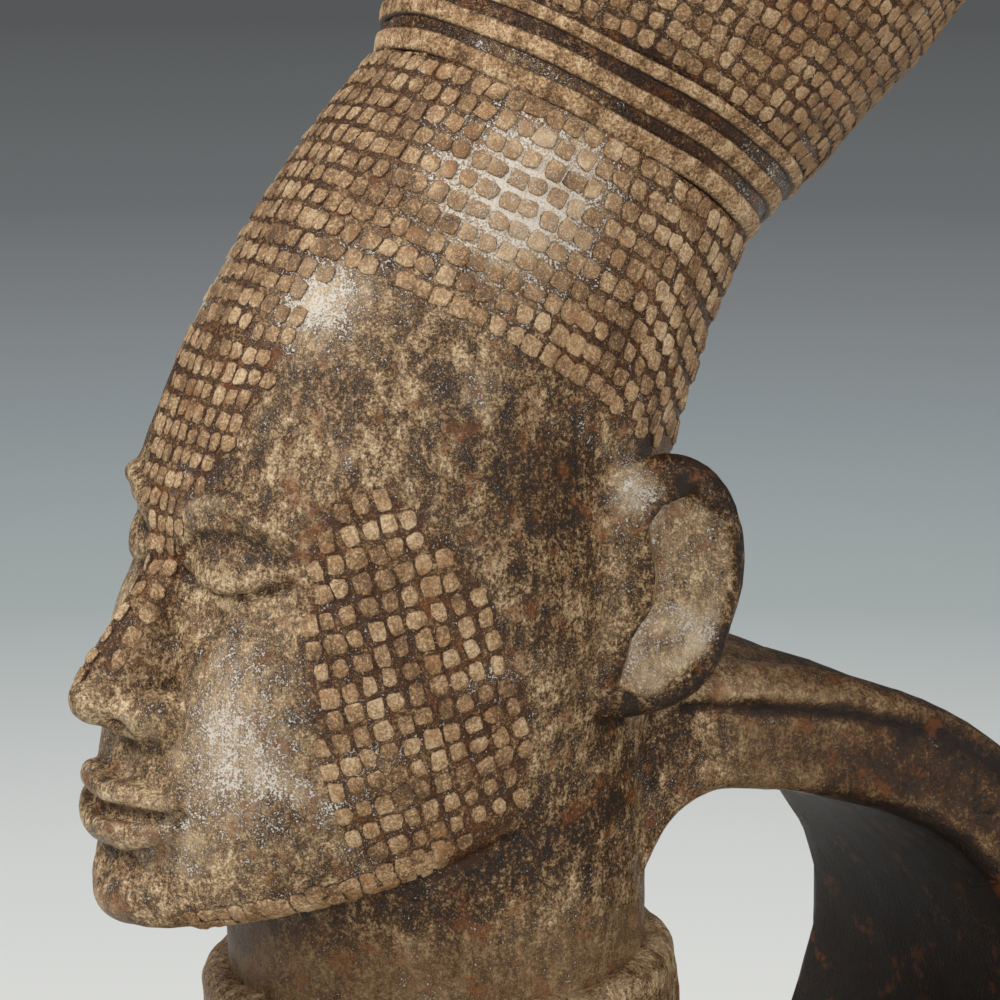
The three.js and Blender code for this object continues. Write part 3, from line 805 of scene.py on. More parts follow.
def scoopEars(points, normals):
    for side in (1, -1):
        up, back, rise = earPlace(points, side)
        out = earAxes(side)[1]
        onEar = (rise > ear["carved"]) * (normals @ out > 0) * (points[:, 0] * side > 0)
        floor = -ear["scoop"] * (1 - 0.6 * ramp(rimShare(up, back), 0.3, 0.88))
        lower = hollowShare(up, back) * (floor - rise)
        before = behindEdge(up, back)
        lip = ramp(before, 0.4, -0.3) * ramp(before, -8, -1) * ramp(np.abs(up), 15, 11)
        points = points + out * (onEar * (lower + lip * np.maximum(0, ear["lip"] - rise)))[:, None]
    return points


strap = {
    "top": belly["shoulderHeight"] + 55,
    "foot": 78,
    "reach": 88,
    "rootThickness": 16,
    "thickness": 14,
    "corner": 3.5,
    "rootWidth": 38,
    "gripWidth": 52,
    "grooves": 2,
    "ribDepth": 1.5,
    "grooveDepth": 5.4,
    "edgeGroove": 0.8,
    "rootFlare": 18,
    "footFlare": 10,
    "stations": 150,
    "lineSteps": 400,
    "keptIn": (3.5, 3),  # how far the ends stay behind the faces of neck and belly
    "opening": np.array([0, 54, 118]),  # the middle of the gap under the strap
}


def strapOutline(width, thickness):
    flat = width / 2 - strap["corner"]
    inner = thickness - strap["corner"]
    upper = np.radians(np.linspace(60, 0, 7))
    lower = np.radians(np.linspace(0, -90, 9))

    def ribbed(share):
        return strap["ribDepth"] * (0.5 - 0.5 * math.cos(share * strap["grooves"] * 2 * math.pi))

    def corner(side, middle, turns):
        return [(side * (flat + strap["corner"] * math.cos(a)), middle - strap["corner"] * math.sin(a))
                for a in turns]

    back = [(flat - 2 * flat * share, ribbed(share)) for share in np.linspace(0, 1, 61)]
    floor = [(-flat + 2 * flat * share, thickness) for share in np.linspace(0, 1, 24)[1:-1]]
    return np.array(back + corner(-1, strap["corner"], upper) + corner(-1, inner, lower[1:]) + floor
                    + corner(1, inner, lower[::-1][:-1]) + corner(1, strap["corner"], upper[::-1]))


def strapLine():  # the strap's outer face, from the nape over the top and down
    neck, wide, shoulder = form["neckRadius"], belly["bellyRadius"], belly["shoulderHeight"]
    top, foot, thick = strap["top"], strap["foot"], strap["thickness"]
    bows = [(0.1, top - 4), (0.42, top - 8.5), (0.72, top - 18), (0.94, top - 34.5), (1, top - 53),
            (0.92, (foot + shoulder) / 2)]
    knots = [(neck / 2, top - 2.5)]
    knots += [(neck + (strap["reach"] - neck) * share, height) for share, height in bows]
    knots += [(wide, foot), (wide - thick, foot - thick)]
    return splineAt(knots, np.linspace(0, 1, strap["lineSteps"]))


def makeStrap():
    rootDepth = form["neckRadius"] / 2
    fine = strapLine()
    run = np.concatenate([[0], np.cumsum(np.linalg.norm(np.diff(fine, axis=0), axis=1))])
    length = run[-1]

    def lineAt(distance):
        return np.array([np.interp(distance, run, fine[:, k]) for k in (0, 1)])

    rings = []
    for s in np.linspace(0, 1, strap["stations"]):
        y, z = lineAt(s * length)
        along = lineAt(min(s * length + 0.5, length)) - lineAt(max(s * length - 0.5, 0))
        along = along / np.linalg.norm(along)
        flare = strap["rootFlare"] * math.exp(-4 * max(0, s * length - rootDepth * 0.4) / strap["rootFlare"])
        fromFoot = max(0, (1 - s) * length - strap["footFlare"] * 1.5)
        spread = strap["footFlare"] * math.exp(-1.2 * fromFoot / strap["footFlare"])
        grip = strap["rootWidth"] + (strap["gripWidth"] - strap["rootWidth"]) * float(ramp(s, 0.05, 0.5))
        thick = strap["rootThickness"]
        thick += (strap["thickness"] - thick) * float(ramp(s, 0.15, 0.5))
        across, deep = strapOutline(grip + spread / 2, thick + flare + spread).T
        rings.append(np.stack([across, y + along[1] * deep, z - along[0] * deep], 1))
    points, faces = cappedMesh(rings)
    return keptOut(points), faces


def grooveAndRib(points):  # shares of the groove along the strap's sides and of the rib above it
    depth = np.full(len(points), 99.0)
    near = np.nonzero((points[:, 1] > 24) & (points[:, 2] > 84))[0]
    depth[near] = np.linalg.norm(points[near][:, None, 1:] - strapLine()[None], axis=2).min(1)
    half = strap["rootWidth"] / 2 + (strap["gripWidth"] - strap["rootWidth"]) / 2 * ramp(points[:, 1], 30, 80)
    onSide = ramp(np.abs(points[:, 0]) - half, -2.5, -1.5) * (depth < 20)
    below = depth - strap["grooveDepth"] + 2.4 * ramp(points[:, 1], 34, 70)
    return onSide * hill(below, 0.75), onSide * hill(below + 2, 1.0)


def keptOut(points):  # stops the strap's ends inside the walls they grow out of
    away = np.hypot(points[:, 0], points[:, 1])
    onNeck = points[:, 2] > belly["shoulderHeight"]
    inNeck, inBelly = strap["keptIn"]
    wallFace = np.where(onNeck, form["neckRadius"] - inNeck, bellyReach(points[:, 2]) - inBelly)
    points[:, :2] *= np.maximum(1, wallFace / np.maximum(away, 0.01))[:, None]
    return points


def bellyReach(height):
    b = belly
    low = np.clip(height / b["bellyHeight"], 0, 1)
    up = np.clip((height - b["bellyHeight"]) / (b["shoulderHeight"] - b["bellyHeight"]), 0, 1)
    below = b["baseRadius"] + (b["bellyRadius"] - b["baseRadius"]) * np.sqrt(1 - (1 - low) ** 2)
    above = b["seatRadius"] + (b["bellyRadius"] - b["seatRadius"]) * np.sqrt(1 - up ** 2)
    return np.where(height < b["bellyHeight"], below, above)


neckWall = {
    "seated": 1,
    "above": 4,  # reach past the jaw plane, into the head
    "waist": 0.7,
    "segments": 160,
    "levels": 24,
}


def makeNeck():
    foot = belly["shoulderHeight"] - neckWall["seated"]

    def ring(radius, share):
        points = aboutAxis(radius, 0, circle(neckWall["segments"]))
        points[:, 2] = foot + (jawPlaneAt(points[:, 1]) + neckWall["above"] - foot) * share
        return points

    shares = np.linspace(0, 1, neckWall["levels"])
    hollows = [neckWall["waist"] * math.sin(math.pi * min(1, share * 1.3)) for share in shares]
    outer = [ring(form["neckRadius"] - hollow, share) for hollow, share in zip(hollows, shares)]
    return ringMesh(outer + [ring(bore, s) for s in shares[::-1]])


# head, neck, ears, handle: one body of clay

head = {
    "voxel": 0.5,
    "softening": 4,
    "jointSoftening": (40, 0.7),
    "triangles": 176000,
    "swells": ((21, 3, 0.8), (8, 4, 0.45), (3.6, 5, 0.22)),
    "unevenness": 0.2,
    "nodes": ("head_shell", "neck_wall", "left_ear", "right_ear", "strap_handle", "nose", "upper_lip",
              "lower_lip", "left_brow", "right_brow", "left_upper_lid", "left_lower_lid",
              "right_upper_lid", "right_lower_lid"),
}


def facedOut(points, faces):  # the same tube with its faces turned out
    volume = 0.0
    for corners in faces:
        a, b, c = points[corners[0]], points[corners[1]], points[corners[2]]
        volume += a @ np.cross(b, c)
        if len(corners) == 4:
            volume += a @ np.cross(c, points[corners[3]])
    return faces if volume > 0 else [tuple(reversed(corners)) for corners in faces]


def joined(parts, name):
    points, faces, start = [], [], 0
    for own, ownFaces in parts:
        points.append(own)
        faces += [tuple(v + start for v in corners) for corners in facedOut(own, ownFaces)]
        start += len(own)
    return addMesh(name, np.concatenate(points), faces)


def headMarks(points, normals, edges):
    counts = np.maximum(np.bincount(edges.ravel(), minlength=len(points)), 1)
    bend = ((points - neighbourMean(points, edges, counts)) * normals).sum(1)[:, None]
    for _ in range(4):
        bend = neighbourMean(bend, edges, counts)
    return {
        # rubbed edges lighter; hollow places darker, as painted shade in the creases
        "worn": np.clip(bend[:, 0] / 0.02, -1, 1),
        "padded": paddedShare(points, normals),
        "burnishAndHighlight": polishShare(points),
        "shadeAndDark": darkShare(points, normals),
        "calm": np.maximum(1.2 * ramp(points[:, 1], 24, 36), 1.4 * ramp(points[:, 2], 142, 132)),
    }


def hairline(turn):  # lowest reach of the skull's pads, by the turn from the front in degrees
    return -27.5 - 14 * hill(np.abs(turn), 22) - 2.5 * hill(np.abs(turn) - 108, 25)


def wedgeHalf(v):  # half the width of the padded wedge, by the height above the chin
    brow, nose = face["browLevel"], face["noseLevel"]
    return np.interp(v, [nose + 5, nose + 7, nose + 14, brow, brow + 5, brow + 15], [0, 2.6, 3.6, 5, 8.5, 12])


def leanPlace(points):  # turn from the front in degrees, height and radius in the leaning frame
    x, y, height = inFrame(points, leanBack).T
    return np.degrees(np.arctan2(x, -y)), height, np.hypot(x, y)


def paddedShare(points, normals):
    turn, height, radius = leanPlace(points)
    skull = ramp(height, hairline(turn) - 1.2, hairline(turn) + 0.6) * ramp(radius ** 2, 19.5 ** 2, 22.5 ** 2)
    v = (points[:, 1:] - form["chin"]) @ faceUp
    onWedge = (points[:, 1] < -12) * (v < face["browLevel"] + 32)
    onFaces = ramp(wedgeHalf(v) - np.abs(points[:, 0]), -0.5, 0.8) * onWedge
    for side in (1, -1):
        across, up, facing = cheekPlace(points, normals, side)
        onFaces = np.maximum(onFaces, cheekShare(across, up) * ramp(facing, 0.05, 0.3))
    beside = np.maximum(ramp(np.abs(turn), 62, 95), ramp(np.abs(turn), 38, 18))
    return np.maximum(skull * (0.35 + 0.65 * beside), onFaces)


highlightSpots = (  # place, spread and strength of small painted highlights before the ears and in their hollows
    ((29, 11.7, 190), 3.2, 0.8),
    ((34, 18, 171), 3.0, 0.6),
)


def polishShare(points):  # burnished grey clay and painted highlights: over the crown, the brows, beside the nose and in small spots
    turn, height, _ = leanPlace(points)
    crown = hill(np.abs(turn) - 58, 22) * hill(height + 12, 11)
    brow = hill(np.abs(turn) - 26, 12) * hill(height + 33, 7)
    beside = hill(np.abs(points[:, 0]) - 17, 7) * hill(points[:, 2] - 162, 11) * (points[:, 1] < -14)
    mirrored = np.abs(points[:, 0]), points[:, 1], points[:, 2]
    spots = 0
    for place, spread, share in highlightSpots:
        away = np.sqrt(sum((axis - at) ** 2 for axis, at in zip(mirrored, place)))
        spots = spots + share * hill(away, spread)
    return np.clip(crown + 0.8 * brow + 0.7 * beside + spots, 0, 1)


def darkShare(points, normals):  # painted shade on ear rims, under the jaw and inside the strap; painted light in the ear hollows; darker temples and strap
    x, y, z = points.T
    # darker at the temples, lighter just before the ears
    temple = 0.65 * hill(np.abs(x) - 30, 10) * hill(y - 1, 7) * hill(z - 190, 17)
    temple = temple - 0.45 * hill(y - 9, 3.2) * hill(z - 186, 14) * (np.abs(x) > 20)
    ears = 0
    for side in (1, -1):
        up, back, rise = earPlace(points, side)
        hollow = hollowShare(up, back)
        # painted shade on the ear's back rim and along the hollow's front edge; painted light in the hollow
        rim = hill(rimShare(up, back) - 1.02, 0.2) * ramp(back, -4, 0)
        shade = 0.9 * hill(behindEdge(up, back) + 0.4, 1.4) * ramp(np.abs(up), 15, 12)
        near = (rise > -8) * (x * side > 0)
        ears = ears + near * ((1.2 * rim + shade) * (1 - hollow) - 0.5 * hollow)
    # painted shade under the jaw
    under = hill(z - jawPlaneAt(y) + 4, 4) * (np.hypot(x, y) < 33) * 0.4
    gap = (strap["opening"] - points)[:, 1:]
    inward = (gap / np.linalg.norm(gap, axis=1)[:, None] * normals[:, 1:]).sum(1)
    # painted shade on the strap's faces towards the gap under it; the strap darker, most on its outer faces
    strapInside = ramp(y, 38, 50) * ramp(inward, 0.35, 0.75) * 1.7
    strapTop = ramp(y, 30, 60) * (0.2 + 0.5 * ramp(inward, 0.3, -0.1))
    # painted shade in the groove along the strap's sides, painted light on the rib above it
    groove, rib = grooveAndRib(points)
    return np.clip(temple + ears + under + strapInside + strapTop + groove - 0.2 * rib, -0.7, 1.9)


# the cheek patch lies in the plane that faces the side of the face
cheek = {
    "facing": 60,  # degrees round from the front
    "middle": (-1.6, 168.6),
    "half": (12.5, 24.5),
    "pitch": (2.45, 2.85),
    "slant": 16,
    "rows": 13,  # to either side of the middle, as the columns
    "columns": 9,
    "padSize": (1.02, 1.24),
}


def cheekAxes(side):
    a = math.radians(cheek["facing"])
    outward = np.array([side * math.sin(a), -math.cos(a), 0])
    backward = np.array([side * math.cos(a), math.sin(a), 0])
    return outward, backward


def cheekPlace(points, normals, side):
    outward, backward = cheekAxes(side)
    return points @ backward, points[:, 2], np.where(points[:, 0] * side > 2, normals @ outward, -1)


def cheekShare(across, up):  # a leaf shape from the cheekbone down to the jaw
    fall = (cheek["middle"][1] - up) / cheek["half"][1]
    middle = cheek["middle"][0] + 4 * fall - 2.5 * fall ** 2
    half = cheek["half"][0] * np.sqrt(np.clip(1 - fall ** 2, 0, 1)) * (1 + 0.15 * fall)
    return ramp(half - np.abs(across - middle), -0.4, 0.8)


def makeHead():
    parts = [headSkin(), makeNeck(), makeStrap(), *makeNose(), *makeLips()]
    for side in (1, -1):
        parts += [makeEar(side), makeBrow(side), makeLid(side)]
    mass = joined(parts, "headMass")
    melter = mass.modifiers.new("melter", "REMESH")
    melter.mode = "VOXEL"
    melter.voxel_size = head["voxel"] * mm
    mass = settled(mass, "headClay")
    print("melted", len(mass.data.polygons))
    edges = read(mass.data.edges, "vertices", 2, np.int32)
    points = relax(pointsOf(mass), edges, head["softening"])
    points = relax(points, edges, *head["jointSoftening"], jointShare(points))
    movePoints(mass, points)
    for carve in (scoopEars, carveFace):
        points = carve(points, normalsOf(mass))
        movePoints(mass, points)
    points = rumple(mass, head["swells"], head["unevenness"], points=points)
    addMarks(mass.data, headMarks(points, normalsOf(mass), edges))
    mass = thinned(mass, sparseShare(points, normalsOf(mass)))
    mass.data.shade_smooth()
    mass.data.materials.clear()
    mass.data.materials.append(finishes["burnished"])
    return dress(mass, "burnished_clay", *head["nodes"])


def thinned(mass, sparse):  # takes faces away, most where sparse is 1
    group = mass.vertex_groups.new(name="sparse")
    levels = 10
    for level in range(1, levels + 1):
        chosen = np.nonzero(np.round(sparse * levels) == level)[0].tolist()
        if chosen:
            group.add(chosen, level / levels, "REPLACE")
    thinner = mass.modifiers.new("thinner", "DECIMATE")
    thinner.vertex_group = "sparse"
    thinner.vertex_group_factor = 1
    thinner.ratio = head["triangles"] / sum(len(side.vertices) - 2 for side in mass.data.polygons)
    return settled(mass, "headClay")


def jointShare(points):  # where the strap grows out of the nape, and where neck and jaw meet
    x, y, z = points.T
    root = ramp(y, 18, 24) * (1 - ramp(y, 38, 50))
    root *= ramp(z, 126, 134) * (1 - ramp(z, 172, 178))
    jaw = hill(z - jawPlaneAt(y), 2.2) * (np.hypot(x, y) > 25)
    return np.clip(root + jaw * 0.7, 0, 1)


def scored(points, normals, path, width, depth, way=None):  # a line pressed into the clay
    path = np.asarray(path, float)
    near = np.all((points > path.min(0) - 6) & (points < path.max(0) + 6), axis=1)
    chosen = np.nonzero(near)[0]
    gap = points[chosen][:, None] - path[None]
    if way is not None:  # distance seen along this direction
        gap = gap - (gap @ way)[..., None] * way
    away = np.linalg.norm(gap, axis=2).min(1)
    points = points.copy()
    points[chosen] -= normals[chosen] * (depth * hill(away, width))[:, None]
    return points


def carveFace(points, normals):
    share = np.linspace(0, 1, 50)
    bow = (2 * share - 1) ** 2
    for side in (1, -1):
        eye = side * face["eyeAcross"]
        facing = onFace(eye, face["eyeLevel"])[1]
        across = eye + side * face["eyeWidth"] * 0.56 * (2 * share - 1)
        droop = face["eyeWidth"] * (0.16 * bow - 0.15)
        path = onFace(across, face["eyeLevel"] + droop)[0]
        points = scored(points, normals, path, 0.62, 1.25, facing)
        crease = face["eyeWidth"] * (0.4 - 0.3 * bow)
        path = onFace(eye + (across - eye) * 1.08, face["eyeLevel"] + crease)[0]
        points = scored(points, normals, path, 0.7, 0.55, facing)
        hollow, out = onFace(side * face["noseWidth"] * 0.27, face["noseLevel"] - 0.6)
        points = scored(points, normals, hollow + out * np.array([[2.4], [3.6], [4.6]]), 1.25, 1.7)
        turn = np.linspace(-0.5, 2.3, 30)
        wing = side * (face["noseWidth"] * 0.4 + 3.9 * np.cos(turn)), face["noseLevel"] + 2 + 4 * np.sin(turn)
        points = scored(points, normals, onFace(*wing)[0], 0.7, 0.5)
    groove, rib = grooveAndRib(points)
    points = points - normals * (strap["edgeGroove"] * (groove - 0.5 * rib))[:, None]
    across = face["mouthWidth"] / 2 * 1.04 * (2 * share - 1)
    path, out = onFace(across, face["mouthLevel"] - 0.35 * hill(across, 3))
    path = path + out * (face["lipProud"] * 0.55 * np.clip(1 - bow, 0, 1))[:, None]
    points = scored(points, normals, path, 0.6, 1.15)
    path = onFace(share * 0 + 0.001, face["mouthLevel"] + 4.5 + 4 * share)[0]
    return scored(points, normals, path, 1.2, 0.55)


def passagePlace(points):  # each point's offset from the middle of the hollow passage
    middle = section(np.linspace(0.03, 1, 24))["middle"]
    low = np.stack([np.zeros(6), np.linspace(108, 148, 6)], 1)
    path = np.concatenate([low, middle])
    gaps = ((points[:, None, 1:] - path[None]) ** 2).sum(2)
    nearest = path[gaps.argmin(1)]
    return np.stack([points[:, 0], points[:, 1] - nearest[:, 0], points[:, 2] - nearest[:, 1]], 1)


def sparseShare(points, normals):  # where fewer faces will do: the hollow, the strap, neck and nape
    offset = passagePlace(points)
    inner = ((offset * normals).sum(1) < 0) * (np.linalg.norm(offset, axis=1) < 29) * 1.0
    handle = ramp(points[:, 1], 34, 48) * (1 - ramp(points[:, 2], 176, 182)) * 0.6
    neck = 0.3 * (1 - ramp(points[:, 2], 132, 142)) * (np.hypot(points[:, 0], points[:, 1]) < 29)
    back = 0.3 * ramp(points[:, 1], 0, 15)
    return np.clip(np.max([inner, handle, neck, back], 0), 0, 1)


# coiffure, bands and rim, turned in the leaning frame

coiffure = {
    "length": 56,
    "mouthRadius": 40.5,
    "wall": 6,
    "foot": 0.3,
    "bulge": 0.16,
    "levels": 48,
    "segments": 220,
    "swells": ((22, 11, 0.3), (7, 12, 0.12)),
}
mouthRim = {
    "height": 7,
    "shoulders": 0.35,  # share of the height where the rounding begins
    "proud": 1.2,
    "steps": 18,
    "swells": ((17, 21, 0.3), (6, 22, 0.12)),
}
bands = {
    "pitch": 3.2,
    "proud": 0.55,
    "sunk": 0.8,
    "raised": 0.2,
    "seat": 0.6,
    "middles": (1.3, 5.1, 8.7),
    "halves": (1.15, 1.2, 0.85),
    "foot": -0.25,  # the lowest reaches down to the skull
    "steps": 16,
    "segments": 560,
    "seed": 70,
    "swells": ((9, 31, 0.12), (2.6, 41, 0.08)),
}


def coiffureRadius(h):
    share = h / coiffure["length"]
    bulged = share + coiffure["bulge"] * share * (1 - share)
    flare = form["crownRadius"] + (coiffure["mouthRadius"] - form["crownRadius"]) * bulged
    return flare - bands["seat"] * (1 - ramp(h, 2 * bands["pitch"], 4 * bands["pitch"]))


def makeCoiffure():
    heights = np.linspace(coiffure["foot"], coiffure["length"], coiffure["levels"])
    profile = [(coiffureRadius(h), h) for h in heights]
    profile += [(coiffureRadius(h) - coiffure["wall"], h) for h in heights[::-1][::2]]
    piece = turned("coiffureClay", profile, coiffure["segments"], leanFrame, "burnished")
    turn, height, radius = leanPlace(rumple(piece, coiffure["swells"]))
    turn = np.abs(turn)
    isOuter = ramp(radius - coiffureRadius(height), -3, -2)
    inBand = ramp(height, 10.5, 9.5)
    groove = 0.62 * hill(height - 3.1, 1.2) * hill(turn - 38, 22)
    # painted shade inside the coiffure, among the bands and on the ground between pads; painted highlight in
    # the groove between the first two bands and among the bands at the back
    addMarks(piece.data, {
        "padded": isOuter * (0.5 + 0.5 * ramp(turn, 62, 100)),
        "burnishAndHighlight": isOuter * (groove + 0.4 * inBand * ramp(turn, 96, 110)),
        "shadeAndDark": (1 - isOuter) * 0.7 + inBand * 0.45,
    })
    return dress(piece, "burnished_clay", "coiffure_wall")


def makeRim():
    foot = coiffure["length"] + coiffure["foot"]
    half = coiffure["wall"] / 2
    middle = coiffure["mouthRadius"] - half
    profile = [(middle + half, foot)]
    for turn in np.linspace(0, math.pi, mouthRim["steps"]):
        rounding = mouthRim["shoulders"] + (1 - mouthRim["shoulders"]) * math.sin(turn)
        reach = half + mouthRim["proud"]
        profile.append((middle + reach * math.cos(turn), foot + mouthRim["height"] * rounding))
    profile.append((middle - half, foot))
    piece = turned("mouthRim", profile, coiffure["segments"], leanFrame, "coil")
    count = len(rumple(piece, mouthRim["swells"]))
    addMarks(piece.data, {"crest": np.ones(count), "drag": np.full(count, 0.5)})
    return dress(piece, "worn_clay", "mouth_rim")


def makeBand(index):
    middle, half = bands["middles"][index], bands["halves"][index]
    steps, segments = bands["steps"], bands["segments"]
    angles = circle(segments)
    wobble = 0.2 * np.sin(angles * 3 + 1.7) + 0.12 * np.sin(angles * 8 + index)
    rings, crest = [], []
    for turn in circle(steps):
        out, along = math.sin(turn), math.cos(turn)
        rise = bands["proud"] * out ** 0.7 if out > 0 else bands["sunk"] * out
        reach = half if index or along > 0 else middle - bands["foot"]
        h = middle + reach * math.copysign(abs(along) ** 0.9, along)
        rings.append(aboutAxis(float(coiffureRadius(h)) + bands["raised"] + rise, h + wobble, angles))
        crest += [max(0.0, out)] * segments
    draw = np.random.default_rng(bands["seed"] + index)
    tracks = draw.uniform(0, 1, segments // 2 + 2)
    drag = np.tile(np.interp(np.arange(segments), np.arange(0, segments + 4, 2), tracks), steps)
    piece = shell("headband" + str(index + 1), rings, leanFrame, "coil")
    swells = [(size, seed + index, height) for size, seed, height in bands["swells"]]
    rumple(piece, swells, np.array(crest), (drag - 0.5) * 0.04)
    addMarks(piece.data, {"crest": crest, "drag": drag})
    return dress(piece, "worn_clay", "headband_" + str(index + 1))


# belly and collar

def makeBelly():
    b = belly
    foot, wide, seat, wall = b["baseRadius"], b["bellyRadius"], b["seatRadius"], b["wall"]
    level, top = b["bellyHeight"], b["shoulderHeight"]
    turns = np.linspace(0, math.pi / 2, 30)

    def below(t, wall=0, floor=0):
        return foot + (wide - foot) * math.sin(t) - wall, level - (level - floor) * math.cos(t)

    def above(t, wall=0):
        return seat + (wide - wall - seat) * math.cos(t), level + (top - wall - level) * math.sin(t)

    profile = [(foot * share, 0) for share in (0.02, 0.35, 0.7, 0.93)]
    profile += [below(t) for t in turns] + [above(t) for t in turns[1:]]
    profile += [(b["bore"], top), (b["bore"], top - wall)]
    profile += [above(t, wall) for t in turns[::2]][::-1]
    profile += [below(t, wall, b["floorWall"]) for t in turns[::-2][1:]]
    profile += [(foot * 0.4, b["floorWall"]), (foot * 0.02, b["floorWall"])]
    piece = turned("bellyClay", profile, b["segments"], Matrix(), "burnished")
    rumple(piece, b["swells"], ramp(pointsOf(piece)[:, 2], 1, 12))
    return dress(piece, "burnished_clay", "base_bowl", "shoulder_wall")


collar = {
    "height": 15,
    "proud": 3,
    "seated": 2,
    "inset": 1.5,
    "tilt": math.radians(4),
    "segments": 200,
    "swells": ((13, 61, 0.3), (5, 62, 0.14)),
    "calm": 0.6,
}


def makeCollar():
    top = belly["shoulderHeight"] + collar["height"]
    foot = belly["shoulderHeight"] - collar["seated"] - top
    neck, proud = form["neckRadius"], collar["proud"]
    profile = [(neck + proud, h) for h in np.linspace(foot, -proud, 10)]
    for turn in np.linspace(0.2, math.pi / 2, 7):
        profile.append((neck + proud * math.cos(turn), -proud * (1 - math.sin(turn))))
    profile += [(neck - collar["inset"], -0.3), (neck - collar["inset"], foot)]
    stand = Matrix.Translation((0, 0, top)) @ Matrix.Rotation(collar["tilt"], 4, "X")
    piece = turned("neckCollar", profile, collar["segments"], stand, "burnished")
    points = rumple(piece, collar["swells"])
    worn = ramp(points[:, 2], top - 3.5, top - 1)
    addMarks(piece.data, {"worn": worn, "calm": np.full(len(points), collar["calm"])})
    return dress(piece, "burnished_clay", "neck_collar")


# raised pads

pads = {
    "rowPitchFront": 2.85,
    "rowPitchBack": 3.9,
    "columnPitch": 2.5,
    "coiffurePitch": 2.3,
    "proud": 0.27,
    "sunk": 0.45,
    "spin": 0.12,
    "unevenness": 0.3,
    "crumble": 1.3,
    "sides": 10,
    "kinds": 8,
    "seed": 7,
    "castFrom": 90,  # distance that the rays which find the clay start from
    "skullRows": 21,
    "skullGirth": (25.5, 0.55, 12),  # radius of the first row, growth by row, rows that grow
    "rowsAlike": 3,  # rows that keep one phase and one number of pads
}
jawRows = {  # turn and level: first and step
    "rows": 3,
    "columns": 16,
    "turn": (0.42, 0.062),
    "level": (0.068, 0.036),
    "size": (1.05, 1.15),
}
wedge = {  # rows down from the forehead, columns to either side, and their pitch
    "rows": 22,
    "columns": 5,
    "top": 31,
    "pitch": (2.4, 2.7),
    "size": (1.02, 1.15),
}


def padTree():  # pads of several kinds on points that carry their turn and size
    tree = bpy.data.node_groups.new("padLayer", "GeometryNodeTree")
    g = Graph(tree)
    asked, sockets = {}, {}
    inputs = (("Places", "Geometry", None), ("Kinds", "Collection", None), ("Spin", "Float", pads["spin"]),
              ("Unevenness", "Float", pads["unevenness"] * mm), ("Grain", "Float", pads["crumble"] * mm),
              ("Seed", "Int", 1), ("Finish", "Material", None))
    for name, kind, value in inputs:
        item = tree.interface.new_socket(name, in_out="INPUT", socket_type="NodeSocket" + kind)
        if value is not None:
            item.default_value = value
        sockets[name] = item.identifier
    tree.interface.new_socket("Pads", in_out="OUTPUT", socket_type="NodeSocketGeometry")
    for name in sockets:
        asked[name] = g.node("NodeGroupInput", out=name)

    def carried(name):
        return g.node("GeometryNodeInputNamedAttribute", {"data_type": "FLOAT_VECTOR"}, {"Name": name})

    def drawn(kind, low, high):
        values = {"Min": low, "Max": high, "Seed": asked["Seed"]}
        return g.node("FunctionNodeRandomValue", {"data_type": kind}, values, out="Value")

    def vectors(operation, values):
        return g.node("ShaderNodeVectorMath", {"operation": operation}, values)

    kinds = g.node("GeometryNodeCollectionInfo", None,
                   {"Collection": asked["Kinds"], "Separate Children": True, "Reset Children": True})
    laid = g.node("GeometryNodeInstanceOnPoints", None, {
        "Points": asked["Places"], "Instance": kinds, "Pick Instance": True,
        "Instance Index": drawn("INT", 0, pads["kinds"] - 1),
        "Rotation": carried("padTurn"), "Scale": carried("padSize"),
    })
    spun = g.node("ShaderNodeCombineXYZ", None, {"Z": drawn("FLOAT", asked["Spin"] * -1.0, asked["Spin"])})
    laid = g.node("GeometryNodeRotateInstances", None, {"Instances": laid, "Rotation": spun})
    real = g.node("GeometryNodeRealizeInstances", None, {"Geometry": laid})
    noise = {"Vector": g.node("GeometryNodeInputPosition"), "Scale": 1.0 / asked["Grain"], "Detail": 1.0}
    crumble = vectors("SUBTRACT", {0: g.node("ShaderNodeTexNoise", None, noise, out=1), 1: (0.5, 0.5, 0.5)})
    offset = vectors("SCALE", {0: crumble, "Scale": asked["Unevenness"] * 2.0})
    real = g.node("GeometryNodeSetPosition", None, {"Geometry": real, "Offset": offset})
    done = g.node("GeometryNodeSetMaterial", None, {"Geometry": real, "Material": asked["Finish"]})
    g.node("NodeGroupOutput", None, {0: done})
    return tree, sockets


